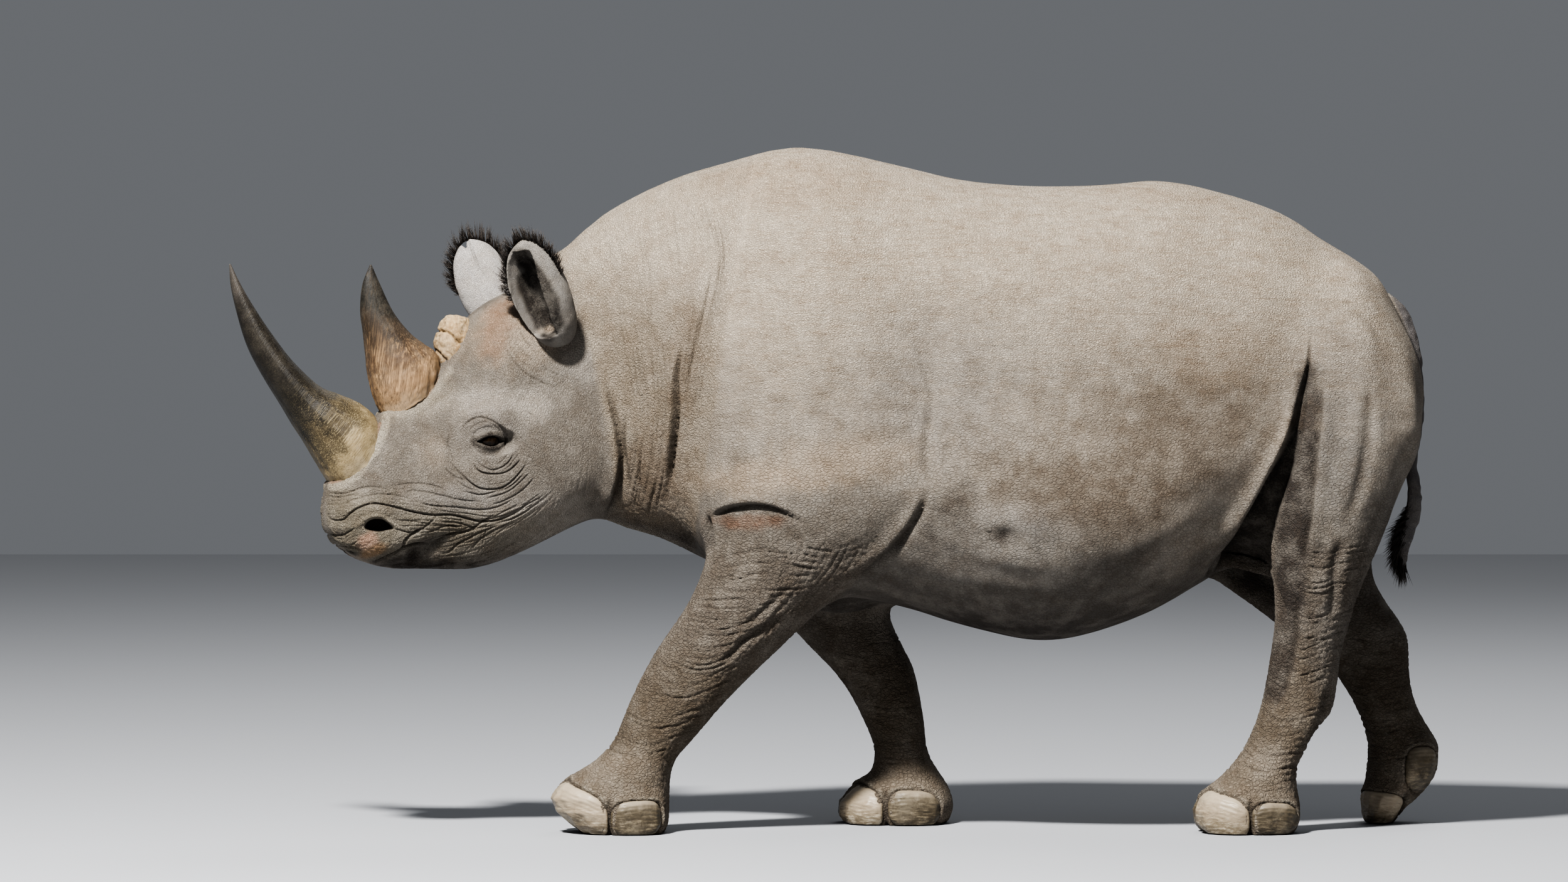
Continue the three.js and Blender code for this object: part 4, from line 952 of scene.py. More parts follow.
print("relief pressed")

# eyes and lids
eye = {
    # in metres: the ball, the solid's ball that it stands in for, how far in it lies, and its clear front
    "radius": 0.0235, "solid": 0.020, "sunk": 0.006, "clear": 0.0012,
    # the opening, how far its lids reach, and the patch of skin that takes part
    "corner": 0.033, "above": 0.0125, "below": -0.0115, "slant": 0.003, "reach": 0.030, "patch": 0.075,
    # the lids' own curve, their gap to the ball, thickness, rounded edge, and the pit behind the opening
    "cap": 0.040, "gap": 0.0012, "lid": 0.0042, "edge": 0.005, "pit": 0.010,
}


def lidEdges(u):
    # the almond opening: its upper and lower edge at each place along it
    t = np.clip(u / eye["corner"], -1, 1)
    upper = eye["above"] * (1 - np.abs(t) ** 2.2) - eye["slant"] * (1 - t) * 0.5
    lower = eye["below"] * (1 - np.abs(t - 0.08) ** 2.0) - eye["slant"] * (1 - t) * 0.5
    return upper, np.minimum(lower, upper)


def shapeLids(mesh):
    verts = vertsOf(mesh)
    inHead = toHead(verts)
    dark = np.zeros(len(verts))
    places = []
    for side, node in ((-1, "eye_left"), (1, "eye_right")):
        low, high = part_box(node)
        middle = toHead(np.array([(Vector(low) + Vector(high)) / 2]))[0]
        middle[1] -= side * (eye["radius"] - eye["solid"] + eye["sunk"])
        places.append(fromHead(np.array([middle]))[0])
        u, v, h = inHead[:, 0] - middle[0], inHead[:, 2] - middle[2], side * (inHead[:, 1] - middle[1])
        near = np.flatnonzero((np.hypot(u, v) < eye["patch"]) & (h > -0.01))
        u, v, h = u[near], v[near], h[near]
        r = np.hypot(u, v)
        upper, lower = lidEdges(u)
        outside = np.maximum(v - upper, lower - v)
        outside = np.where(np.abs(u) > eye["corner"], np.hypot(np.abs(u) - eye["corner"], v + 0.002), outside)
        cap = np.sqrt(np.maximum(eye["cap"] ** 2 - np.minimum(r, 0.039) ** 2, 0)) - eye["cap"]
        cap = cap + eye["radius"] + eye["gap"]
        lid = cap + eye["lid"] * np.sqrt(np.clip(outside / eye["edge"], 0, 1))
        lid = lid + np.where(v > upper, 0.0012, 0)
        pit = cap - 0.0015 - np.minimum(-outside * 2.2, eye["pit"])
        shape = np.where(outside > 0, lid, pit)
        keep = ease(outside, 0.004, eye["reach"])
        made = shape * (1 - keep) + h * keep
        made = np.maximum(made, np.where(outside > 0, 0, -1) + h * (outside > 0) * ease(outside, 0.012, 0.03))
        inHead[near, 1] = middle[1] + side * made
        # dark skin round the opening: pigmented lid rims, widened with painted shade
        patchy = outside + 0.003 * cloudy(verts[near] / 0.006, 71)
        dark[near] = np.maximum(dark[near], ease(patchy, 0.016, 0.006))
    setVerts(mesh, fromHead(inHead))
    return dark, places


lidDark, eyePlaces = shapeLids(skin.data)
print("lids shaped")


def makeEyeball(name, place, side):
    rows, around = 48, 64
    angle = np.linspace(0, 2 * np.pi, around, endpoint=False)
    rings = []
    for t in np.linspace(0.02, 0.98, rows):
        polar = math.pi * t
        # the clear front stands a little proud of the ball
        radius = eye["radius"] + eye["clear"] * math.exp(-(polar / 0.5) ** 2)
        out = -radius * math.cos(polar) * -side
        rings.append(np.stack([radius * math.sin(polar) * np.cos(angle), np.full(around, out),
                               radius * math.sin(polar) * np.sin(angle)], 1))
    ball = closedPiece(name, np.array(rings))
    setVerts(ball.data, turned(vertsOf(ball.data), headTurn["yaw"]) + place)
    return ball


eyeballs = [makeEyeball("eyeball_left", eyePlaces[0], -1), makeEyeball("eyeball_right", eyePlaces[1], 1)]
print("eyes made")

# horns: rows of front x and z, rear x and z, half width, in mm, from the tip down;
# base: the shares of the length where the rough foot begins and is full; fibres: how many, their rise
# there and their seed; lump: the size of its lumps
horns = {
    "horn_front": {
        "rows": [(-896, 1317, -893, 1317, 2), (-892, 1266, -872, 1274, 13), (-877, 1202, -840, 1220, 24),
                 (-851, 1123, -798, 1158, 37), (-807, 1044, -746, 1092, 50), (-761, 972, -690, 1040, 62),
                 (-722, 912, -638, 1016, 74), (-682, 848, -584, 994, 84), (-655, 805, -552, 962, 86),
                 (-622, 785, -530, 920, 76)],
        "around": 88, "along": 190, "base": (0.45, 0.95), "fibres": (9, 0.0016, 81), "lump": 0.012},
    "horn_rear": {
        "rows": [(-560, 1313, -556, 1313, 2), (-578, 1267, -536, 1268, 14), (-583, 1209, -506, 1206, 30),
                 (-576, 1157, -468, 1158, 46), (-570, 1104, -434, 1130, 60), (-564, 1055, -406, 1110, 70),
                 (-548, 1000, -394, 1078, 74), (-526, 955, -398, 1035, 64)],
        "around": 80, "along": 120, "base": (0.35, 0.85), "fibres": (10, 0.0018, 91), "lump": 0.010},
    "horn_stub": {
        "rows": [(-374, 1196, -342, 1193, 24), (-390, 1176, -322, 1184, 42), (-402, 1140, -306, 1152, 50),
                 (-400, 1108, -300, 1122, 52), (-390, 1070, -306, 1095, 44)],
        "around": 96, "along": 70},
}


def makeHorn(name):
    horn = horns[name]
    places = np.linspace(0, len(horn["rows"]) - 1, horn["along"])
    frontX, frontZ, rearX, rearZ, half = (curveThrough(horn["rows"], places) / 1000).T
    angle = np.linspace(0, 2 * np.pi, horn["around"], endpoint=False)
    share = (1 - np.cos(angle)) / 2
    rings = np.stack([frontX[:, None] + (rearX - frontX)[:, None] * share,
                      half[:, None] * np.sin(angle) * 0.97,
                      frontZ[:, None] + (rearZ - frontZ)[:, None] * share], 2)
    piece = closedPiece(name + "_keratin", rings)
    run = np.concatenate([np.repeat(places / places[-1], horn["around"]), [0, 1]])
    turn = np.concatenate([np.tile(angle, horn["along"]), [0, 0]])
    return piece, run, turn


def finishHorn(piece, run, height):
    verts = vertsOf(piece.data) + normalsOf(piece.data) * height[:, None]
    setVerts(piece.data, fromHead(verts))
    setValues(piece.data, "run", run)


def fibrous(name, piece, run, turn):
    # ridges that follow the horn's length, and lumps at its foot
    count, rise, seed = horns[name]["fibres"]
    base = ease(run, *horns[name]["base"])
    ring = np.stack([np.cos(turn) * count, np.sin(turn) * count, run * 3.0], 1)
    ridges = cloudy(ring, seed) + 0.5 * cloudy(ring * [2.3, 2.3, 3], seed + 1)
    lumps = cloudy(vertsOf(piece.data) / horns[name]["lump"], seed + 2)
    return ridges * (0.0005 + rise * base) + 0.0012 * base * lumps


frontHorn, run, turn = makeHorn("horn_front")
height = fibrous("horn_front", frontHorn, run, turn)
height += 0.0018 * np.sin(run * 34 + turn) * ease(run, 0.2, 0.7) * 0.4
finishHorn(frontHorn, run, height)

rearHorn, run, turn = makeHorn("horn_rear")
finishHorn(rearHorn, run, fibrous("horn_rear", rearHorn, run, turn))

stubHorn, run, turn = makeHorn("horn_stub")
verts = vertsOf(stubHorn.data)
height = (0.0035 * cloudy(verts / 0.042, 95) + 0.0015 * cloudy(verts / 0.014, 98)
          + 0.0011 * cloudy(verts / 0.006, 96))
gap = crackle(verts / [0.030, 0.05, 0.022], 97)
height -= 0.0012 * np.exp(-(gap / 0.05) ** 2)
dots = toSketch(fromHead(nearSide(verts)))
cracks = [
    # line, depth
    ([(690, 527), (712, 530), (735, 548), (760, 556)], 0.0075),
    ([(696, 558), (712, 575), (728, 588)], 0.0045),
]
for line, depth in cracks:
    height -= depth * np.exp(-(acrossLine(dots, smoothLine(line))[0] / 2.2) ** 2)
finishHorn(stubHorn, run, height)
print("horns made")

# bristles on the ear rims and on the end of the tail
def makeBristles(name, roots, ways, lengths, widths, bends, patches):
    # each is a thin three-sided blade; patches are the places of the roots on the unwrap
    sections, taper, patchSize = (0.0, 0.4, 0.75), (1.0, 0.75, 0.42), 0.003
    count = len(roots)
    ways = unit(ways)
    side = unit(np.cross(ways, np.array([0.31, 0.95, 0.07])))
    up = np.cross(side, ways)
    verts, faces = [], []
    for s, t in zip(sections, taper):
        centre = roots + ways * (lengths * s)[:, None] + bends * (lengths * s * s)[:, None]
        for k in range(3):
            a = 2 * math.pi * k / 3
            verts.append(centre + (side * math.cos(a) + up * math.sin(a)) * (widths * t / 2)[:, None])
    verts.append(roots + ways * lengths[:, None] + bends * lengths[:, None])
    verts = np.stack(verts, 1)
    each = verts.shape[1]
    shape = [(2, 1, 0)]
    for s in range(2):
        shape += [(3 * s + k, 3 * s + (k + 1) % 3, 3 * s + 3 + (k + 1) % 3, 3 * s + 3 + k) for k in range(3)]
    shape += [(6 + k, 6 + (k + 1) % 3, 9) for k in range(3)]
    for n in range(count):
        faces += [tuple(v + n * each for v in face) for face in shape]
    piece = newPiece(name, verts.reshape(-1, 3), faces)
    uv = piece.data.uv_layers.new(name="OFBake")
    corner = np.empty(len(piece.data.loops), np.int32)
    piece.data.loops.foreach_get("vertex_index", corner)
    blade = [(0.5 + 0.5 * math.cos(2 * math.pi * (v % 3) / 3) * (1 - v / 10), 0.1 * v) for v in range(each)]
    places = patches[corner // each] + (np.array(blade)[corner % each] - 0.5) * patchSize
    uv.data.foreach_set("uv", places.astype(np.float32).ravel())
    setValues(piece.data, "tone", np.repeat(np.random.default_rng(count).random(count), each))
    return piece


fringe = {
    # the rim is met by going outward from the leaf's middle; heights and lengths in mm
    "middle": 140, "top": 248, "leaf": 250, "reach": 130, "step": 0.5, "sunk": 1.5, "width": (0.0013, 0.0023),
    # bearings round the rim, how many, shortest and longest in mm, seed
    "left": {"from": -72, "to": 112, "count": 760, "length": (17, 42), "seed": 61},
    "right": {"from": -84, "to": 92, "count": 760, "length": (17, 42), "seed": 62},
}


def makeFringe(name):
    rule, place = fringe[name], ear[name]
    rand = np.random.default_rng(rule["seed"])
    n = rule["count"]
    bearing = np.radians(rand.uniform(rule["from"], rule["to"], n))
    out = np.stack([-place["side"] * np.sin(bearing), np.cos(bearing)], 1)
    rows = curveThrough(ear["rows"], np.linspace(0, len(ear["rows"]) - 1, 200))
    reach = np.linspace(0, fringe["reach"], 1 + round(fringe["reach"] / fringe["step"]))
    height = fringe["middle"] + reach[None, :] * out[:, 1:2]
    inside = ((height < fringe["top"])
              & (np.abs(reach[None, :] * out[:, :1]) < np.interp(height, rows[:, 0], rows[:, 1])))
    far = reach[np.argmin(inside, 1)] - fringe["sunk"]
    z = fringe["middle"] + far * out[:, 1]
    front = rand.uniform(-4, 3, n)
    roots = np.stack([-np.interp(z, rows[:, 0], rows[:, 3]) + front, far * out[:, 0], z], 1)
    clump = cloudy(np.column_stack([bearing * 13, np.zeros(n), np.zeros(n)]), rule["seed"] + 1)
    ways = np.stack([front * 0.05 + rand.normal(-0.1, 0.18, n),
                     out[:, 0] + 0.8 * clump * out[:, 1] + rand.normal(0, 0.10, n),
                     out[:, 1] + 0.35 - 0.8 * clump * out[:, 0] + rand.normal(0, 0.10, n)], 1)
    fade = np.minimum(ease(bearing, math.radians(rule["from"]), math.radians(rule["from"] + 25)),
                      ease(bearing, math.radians(rule["to"]), math.radians(rule["to"] - 25)))
    low, high = rule["length"]
    lengths = (low + (high - low) * rand.beta(2.2, 2.0, n) * (0.78 + 0.32 * clump)) * (0.45 + 0.55 * fade)
    matrix = np.array(earFrame(place))
    roots = fromHead(roots / 1000 @ matrix[:3, :3].T + matrix[:3, 3])
    ways = turned(unit(ways) @ matrix[:3, :3].T, headTurn["yaw"])
    bends = np.column_stack([rand.normal(0, 0.12, n), rand.normal(0, 0.12, n) + 0.2 * clump,
                             rand.uniform(0.05, 0.50, n)])
    widths = rand.uniform(*fringe["width"], n)
    patches = np.stack([0.5 + 0.45 * np.sin(bearing),
                        0.5 + 0.4 * (z / fringe["leaf"] - 0.5) + front * 0.004], 1)
    return makeBristles("ear_bristles_" + name, roots, ways, lengths / 1000, widths, bends, patches)


tuft = {"top": 752, "end": 604, "count": 1100, "length": (20, 50), "width": (0.0012, 0.0021), "seed": 71}


def makeTuft():
    rand = np.random.default_rng(tuft["seed"])
    n = tuft["count"]
    share = rand.beta(1.6, 1.1, n)
    z = tuft["top"] + (tuft["end"] - tuft["top"]) * share
    rows = curveThrough(tailShape["rows"], np.linspace(0, len(tailShape["rows"]) - 1, 300))[::-1]
    x, deep, wide = [np.interp(z, rows[:, 1], rows[:, k]) for k in (0, 2, 3)]
    bearing = np.pi + rand.normal(0, 0.5, n) * (1 + 3 * ease(share, 0.75, 1.0))
    roots = np.column_stack([x + 0.85 * deep * np.cos(bearing), 0.85 * wide * np.sin(bearing), z])
    clump = cloudy(np.column_stack([share * 7, np.zeros(n), np.zeros(n)]), tuft["seed"] + 1)
    ways = np.column_stack([-1.0 + 0.95 * share ** 1.5 + 0.2 * clump + rand.normal(0, 0.16, n),
                            0.5 * np.sin(bearing) + rand.normal(0, 0.2, n),
                            -0.25 - 0.9 * share + rand.normal(0, 0.16, n)])
    low, high = tuft["length"]
    lengths = (low + (high - low) * rand.beta(2, 1.6, n)) * (0.35 + 0.65 * ease(share, 0, 0.3))
    bends = np.column_stack([rand.normal(0, 0.1, n), rand.normal(0, 0.1, n), rand.uniform(-0.35, -0.05, n)])
    widths = rand.uniform(*tuft["width"], n)
    patches = np.column_stack([0.5 + 0.45 * bearing / (3 * np.pi), 0.1 + 0.8 * share])
    return makeBristles("tail_bristles", roots / 1000, ways, lengths / 1000, widths, bends, patches)


bristles = [makeFringe("left"), makeFringe("right"), makeTuft()]
print("bristles made")

# colours of the hide, as shares of light given back; the belly's colour and the colour under the lip are
# painted shade
palette = {
    "back": (0.46, 0.40, 0.325), "tan": (0.36, 0.285, 0.21), "flank": (0.32, 0.285, 0.24),
    "brown": (0.125, 0.095, 0.068), "lower": (0.13, 0.118, 0.103), "paintedShade": (0.036, 0.031, 0.028),
    "neck": (0.29, 0.245, 0.19), "neckLow": (0.19, 0.145, 0.105), "head": (0.172, 0.154, 0.132),
    "brow": (0.36, 0.33, 0.29), "forehead": (0.33, 0.265, 0.20), "rust": (0.25, 0.15, 0.095),
    "muzzle": (0.185, 0.165, 0.125), "underLipShadow": (0.010, 0.008, 0.007), "pink": (0.46, 0.29, 0.21),
    "orange": (0.30, 0.17, 0.075), "ear": (0.20, 0.19, 0.175), "farEar": (0.40, 0.385, 0.37),
    "earRim": (0.11, 0.095, 0.07), "leg": (0.142, 0.122, 0.100), "shank": (0.132, 0.108, 0.080),
    "foot": (0.215, 0.180, 0.140), "armpit": (0.15, 0.085, 0.055), "tail": (0.125, 0.118, 0.118),
    "dark": (0.012, 0.010, 0.009), "crust": (0.355, 0.322, 0.262), "grey": (0.29, 0.275, 0.255),
}
stains = [
    # view, place, size in dots, lean, colour, strength
    ("body", (1700, 330), (420, 70), 0, "back", 0.8), ("body", (1980, 400), (150, 60), 20, "back", 0.8),
    ("body", (1270, 290), (160, 46), 0, "tan", 0.55), ("body", (1850, 310), (150, 14), 6, "tan", 0.5),
    ("body", (1250, 520), (130, 110), 0, "back", 0.55), ("body", (1160, 420), (90, 120), 20, "back", 0.25),
    ("body", (1880, 690), (170, 110), -8, "brown", 0.66),
    ("body", (1740, 800), (190, 60), 14, "brown", 0.64), ("body", (1940, 560), (100, 60), 0, "tan", 0.4),
    ("body", (1500, 620), (110, 130), 0, "grey", 0.35), ("body", (1590, 860), (130, 60), -5, "grey", 0.25),
    ("body", (1330, 735), (130, 40), -4, "tan", 0.6), ("side", (1200, 765), (110, 26), 0, "tan", 0.6),
    # next line begins with painted shade behind the upper arm
    ("side", (1512, 830), (34, 74), 25, "paintedShade", 0.6), ("side", (1192, 830), (62, 10), 0, "armpit", 0.7),
    ("front_left_leg", (1192, 832), (62, 12), 0, "armpit", 0.7),
    # next line ends with painted shade on the front of the thigh
    ("side", (2150, 545), (60, 16), 35, "brown", 0.2), ("side", (2126, 750), (70, 110), 15, "lower", 0.95),
    # next line begins with painted shade in the small dimple on the flank
    ("body", (1604, 858), (24, 15), 10, "paintedShade", 0.75), ("body", (1622, 830), (60, 20), 8, "grey", 0.3),
    # next line begins with painted light: a paler patch that lifts the painted shade on the lower flank
    ("body", (1905, 842), (84, 38), -48, "flank", 0.9), ("side", (2130, 640), (70, 150), 0, "grey", 0.3),
    # next line ends with painted shade under the neck
    ("body", (1050, 760), (60, 70), 0, "neckLow", 0.7), ("body", (1010, 850), (80, 24), 15, "paintedShade", 0.6),
    ("body", (1095, 560), (26, 110), 5, "neckLow", 0.5), ("body", (1000, 560), (40, 120), 0, "neck", 0.5),
    # painted shade low on the chest
    ("body", (1110, 880), (60, 30), 30, "paintedShade", 0.7),
    ("head", (820, 520), (90, 60), -10, "forehead", 0.75), ("head", (800, 470), (40, 46), 0, "rust", 0.65),
    ("head", (790, 540), (26, 40), 10, "rust", 0.55), ("head", (680, 640), (60, 24), -14, "crust", 0.5),
    ("head", (770, 640), (60, 24), 0, "brow", 0.75), ("head", (850, 650), (30, 26), 0, "brow", 0.8),
    ("head", (780, 690), (50, 40), 0, "grey", 0.4), ("head", (930, 560), (40, 50), 0, "grey", 0.5),
    # next line begins with painted light: a pale patch on the lower cheek, which the lamps leave in shade
    ("head", (862, 824), (84, 46), -22, "brow", 0.95), ("head", (745, 800), (60, 26), -6, "grey", 0.5),
    ("head", (690, 700), (60, 50), 0, "head", 0.4), ("head", (690, 720), (24, 30), 0, "forehead", 0.3),
    ("muzzle", (560, 820), (70, 44), 0, "muzzle", 0.9),
    ("muzzle", (640, 850), (110, 34), -12, "muzzle", 0.75),
    ("muzzle", (760, 860), (110, 30), -16, "muzzle", 0.6),
    # painted shadow under the upper lip and in the corner of the mouth
    ("muzzle", (700, 912), (150, 25), 0, "underLipShadow", 0.97), ("muzzle", (675, 877), (44, 16), -24, "underLipShadow", 0.85),
    ("muzzle", (555, 893), (30, 12), 20, "rust", 0.7), ("muzzle", (587, 860), (15, 13), -20, "pink", 0.8),
    # next line ends with painted shade in the deep crease below the nostril
    ("muzzle", (594, 876), (20, 8), -24, "orange", 0.65), ("muzzle", (550, 880), (22, 5), 0, "dark", 0.9),
    ("ear_left", (846, 478), (34, 12), 60, "earRim", 0.7),
    ("front_left_leg", (980, 1225), (70, 30), 0, "foot", 0.8),
    ("front_right_leg", (1430, 1240), (90, 34), 0, "foot", 0.85),
    ("hind_left_leg", (2000, 1235), (90, 40), -20, "foot", 0.9),
    ("hind_right_leg", (2240, 1220), (70, 40), 0, "foot", 0.3),
    ("hind_left_leg", (2060, 1080), (30, 90), 0, "foot", 0.35),
    ("hind_left_leg", (2120, 1050), (30, 110), 0, "grey", 0.25),
]


bands = [
    # view, line, half breadth in dots, colour, strength
    # painted shadow that the flank casts on the front of the thigh
    ("side", [(2088, 600), (2082, 660), (2074, 720), (2066, 800), (2060, 880), (2058, 960)],
     21, "paintedShade", 0.8),
    ("hind_left_leg", [(2074, 720), (2066, 800), (2060, 880), (2058, 960), (2046, 1040), (2030, 1100)],
     21, "paintedShade", 0.8),
    # painted shade in the near ear's hollow
    ("ear_left", [(830, 408), (850, 432), (868, 460), (880, 488), (884, 516)], 12.5, "dark", 0.98),
    ("ear_left", [(836, 446), (848, 478), (862, 508), (874, 530)], 13, "dark", 0.93),
    (*crusts["front"][:3], "crust", 0.85), (*crusts["rear"][:3], "crust", 0.55),
    ("head", [(596, 655), (622, 653), (650, 648), (678, 631), (697, 603)], 2.5, "rust", 0.6),
    ("muzzle", [(508, 768), (530, 769), (544, 765), (564, 751), (583, 726), (597, 700), (606, 675)],
     2.5, "rust", 0.7),
]


def paintSkin():
    verts = vertsOf(skin.data)
    high = verts[:, 2] + 0.05 * cloudy(verts / 0.35, 101)
    colour = np.tile(palette["lower"], (len(verts), 1)).astype(float)

    def lay(name, share):
        colour[:] = colour + (np.array(palette[name]) - colour) * share[:, None]

    lay("flank", ease(high, 0.66, 0.98))
    lay("back", ease(high, 1.02, 1.38))
    # painted shade: the body darkens toward its underside, and the neck toward its lower edge
    lay("paintedShade", ease(high, 0.60, 0.44) * shares["torso"])
    lay("neck", shares["neck"] * ease(high, 1.35, 1.1))
    lay("paintedShade", shares["neck"] * ease(high, 0.75, 0.62))
    lay("head", shares["head"])
    for node in legNodes:
        lay("leg", shares[node] * ease(high, 0.82, 0.6))
        lay("shank", shares[node] * ease(high, 0.5, 0.3))
        lay("foot", shares[node] * ease(high, 0.17, 0.08) * 0.5)
    # painted shade on the inner side of each leg, which faces the body
    for node, side in (("front_right_leg", -1), ("hind_right_leg", -1),
                       ("front_left_leg", 1), ("hind_left_leg", 1)):
        inner = ease(relief.normals[:, 1] * side, -0.3, 0.5) * ease(high, 0.22, 0.34)
        lay("paintedShade", shares[node] * inner * 0.15)
    lay("ear", shares["ear_left"])
    lay("farEar", shares["ear_right"])
    lay("tail", shares["tail"])
    ragged = 0.18 * cloudy(verts / 0.05, 102) + 0.22 * cloudy(verts / 0.018, 103)
    for view, place, size, lean, name, strength in stains:
        dots, weight = relief.views[view]
        far = np.hypot(*spot(dots, place, size, lean))
        lay(name, np.clip(weight, 0, 1) * strength * ease(far + ragged, 1.5, 0.4))
    for view, line, breadth, name, strength in bands:
        dots, weight = relief.views[view]
        far = np.abs(acrossLine(dots, smoothLine(line))[0]) / breadth
        lay(name, np.clip(weight, 0, 1) * strength * ease(far + 0.8 * ragged, 1.5, 0.6))
    # painted shade in the hollow between the flank and the thigh
    lay("dark", np.clip(hollowMask * 0.9, 0, 1))
    # mottles drawn out along the body
    streaks = cloudy(verts / [0.05, 0.05, 0.022], 104) + 0.6 * cloudy(verts / [0.022, 0.022, 0.010], 105)
    belt = shares["torso"] * np.exp(-((verts[:, 2] - 0.98) / 0.22) ** 2)
    lay("brown", belt * 0.3 * ease(streaks, 0.15, 0.9))
    lay("back", belt * 0.22 * ease(-streaks, 0.15, 0.9))
    # painted shade in the creases, clefts and nail grooves, and in the nostril's pit
    creaseShade = np.clip(relief.creaseShade, 0, 1.2)
    creaseShade = np.maximum(creaseShade, nostrilMask * 1.6)
    lay("crust", cuticle * 0.7 * ease(cloudy(verts / 0.012, 106), -0.8, 0.6))
    # painted shade: the nostril's pit painted near black
    lay("dark", np.clip(nostrilMask * 1.3, 0, 1))
    # pigmented lid rims, widened with painted shade round the eye
    lay("dark", np.clip(lidDark, 0, 0.96))
    # where the plates show, and where they are drawn out upright or level
    plated = legShare + 0.7 * (legWhole - legShare) + 0.75 * shares["neck"] * ease(verts[:, 2], 1.35, 1.0)
    plated = plated + 0.12 * shares["head"] + 0.75 * ease(verts[:, 2], 1.2, 0.85) * shares["torso"]
    plated = np.clip(plated, 0, 1) * (1 - 0.8 * np.clip(shares["ear_left"] + shares["ear_right"], 0, 1))
    shoulder = shares["torso"] * ease(verts[:, 0], -0.1, -0.4)
    upright = np.clip(shares["neck"] + 0.65 * shares["head"] + 0.5 * shoulder, 0, 1)
    level = shares["torso"] * ease(verts[:, 2], 0.85, 1.1) * (1 - upright)
    for name, values in (("tint", np.column_stack([colour, np.ones(len(verts))])),
                         ("lie", np.column_stack([level, upright, plated, np.ones(len(verts))]))):
        layer = skin.data.color_attributes.new(name, "FLOAT_COLOR", "POINT")
        layer.data.foreach_set("color", np.ascontiguousarray(np.clip(values, 0, 1), np.float32).ravel())
    setValues(skin.data, "creaseShade", np.clip(creaseShade, 0, 1.5))


paintSkin()
print("hide painted")

# node groups that several finishes share
def newGroup(name, inputs, output):
    # inputs by name: a number, three numbers, or nothing for a plain vector
    group = bpy.data.node_groups.new(name, "ShaderNodeTree")
    for label, value in inputs.items():
        kind = "NodeSocketFloat" if isinstance(value, float) else "NodeSocketVector"
        socket = group.interface.new_socket(name=label, in_out="INPUT", socket_type=kind)
        if value is not None:
            socket.default_value = value
    group.interface.new_socket(name=output, in_out="OUTPUT", socket_type="NodeSocketFloat")
    return group, group.nodes.new("NodeGroupInput"), group.nodes.new("NodeGroupOutput")


def feed(tree, socket, value):
    # a link when the value comes from another node, else a constant on the socket
    if isinstance(value, bpy.types.NodeSocket):
        tree.links.new(value, socket)
    else:
        socket.default_value = value


def put(tree, kind, settings=None, **sockets):
    # one node: settings are its own properties, sockets are values or links by the socket's name or number
    node = tree.nodes.new("ShaderNode" + kind)
    for label, value in (settings or {}).items():
        setattr(node, label, value)
    for label, value in sockets.items():
        numbered = label[0] == "i" and label[1:].isdigit()
        feed(tree, node.inputs[int(label[1:]) if numbered else label.replace("_", " ")], value)
    return node


def sums(tree, operation, a, b=None, clamp=False):
    node = put(tree, "Math", {"operation": operation, "use_clamp": clamp}, i0=a)
    if b is not None:
        feed(tree, node.inputs[1], b)
    return node.outputs[0]


def blendColour(tree, share, a, b, how="MIX"):
    node = tree.nodes.new("ShaderNodeMix")
    node.data_type, node.blend_type = "RGBA", how
    for index, value in ((0, share), (6, a), (7, b)):
        feed(tree, node.inputs[index], (*value, 1) if isinstance(value, tuple) else value)
    return node.outputs[2]


def spread(tree, value, low, high, toLow=0.0, toHigh=1.0):
    return put(tree, "MapRange", {"interpolation_type": "SMOOTHSTEP"}, Value=value,
               From_Min=low, From_Max=high, To_Min=toLow, To_Max=toHigh).outputs["Result"]


def noise(tree, vector, scale, detail, **more):
    return put(tree, "TexNoise", Vector=vector, Scale=scale, Detail=detail, **more).outputs["Fac"]


def mapped(tree, vector, **how):
    return put(tree, "Mapping", {"vector_type": "POINT"}, Vector=vector, **how).outputs[0]


def stored(tree, name, output="Fac"):
    # values kept on the mesh
    return put(tree, "Attribute", {"attribute_name": name}).outputs[output]


def makePlates():
    # small raised plates with lines between them, drawn out by Stretch
    group, given, out = newGroup("plates", {"Vector": None, "Stretch": (100, 100, 100), "Line": 0.1},
                                 "Height")
    bend = put(group, "TexNoise", Vector=given.outputs["Vector"], Scale=45.0, Detail=2.0).outputs["Color"]
    shift = put(group, "VectorMath", {"operation": "MULTIPLY_ADD"}, i0=bend, i1=(0.006, 0.006, 0.006),
                i2=given.outputs["Vector"])
    stretched = put(group, "VectorMath", {"operation": "MULTIPLY"}, i0=shift.outputs[0],
                    i1=given.outputs["Stretch"])
    cells = put(group, "TexVoronoi", {"feature": "DISTANCE_TO_EDGE"}, Vector=stretched.outputs[0], Scale=1.0)
    group.links.new(spread(group, cells.outputs["Distance"], 0.0, given.outputs["Line"]),
                    out.inputs["Height"])
    return group


def makeDust():
    # pale dust lying in soft patches
    group, given, out = newGroup("dust", {"Vector": None, "Scale": 8.0, "Amount": 0.5}, "Mask")
    broad = noise(group, given.outputs["Vector"], given.outputs["Scale"], 6.0, Roughness=0.62)
    fine = noise(group, given.outputs["Vector"], 260.0, 3.0, Roughness=0.6)
    both = put(group, "Math", {"operation": "MULTIPLY_ADD"}, i0=fine, i1=0.35, i2=broad)
    patch = spread(group, both.outputs[0], 0.58, 0.86)
    group.links.new(sums(group, "MULTIPLY", patch, given.outputs["Amount"], True), out.inputs["Mask"])
    return group


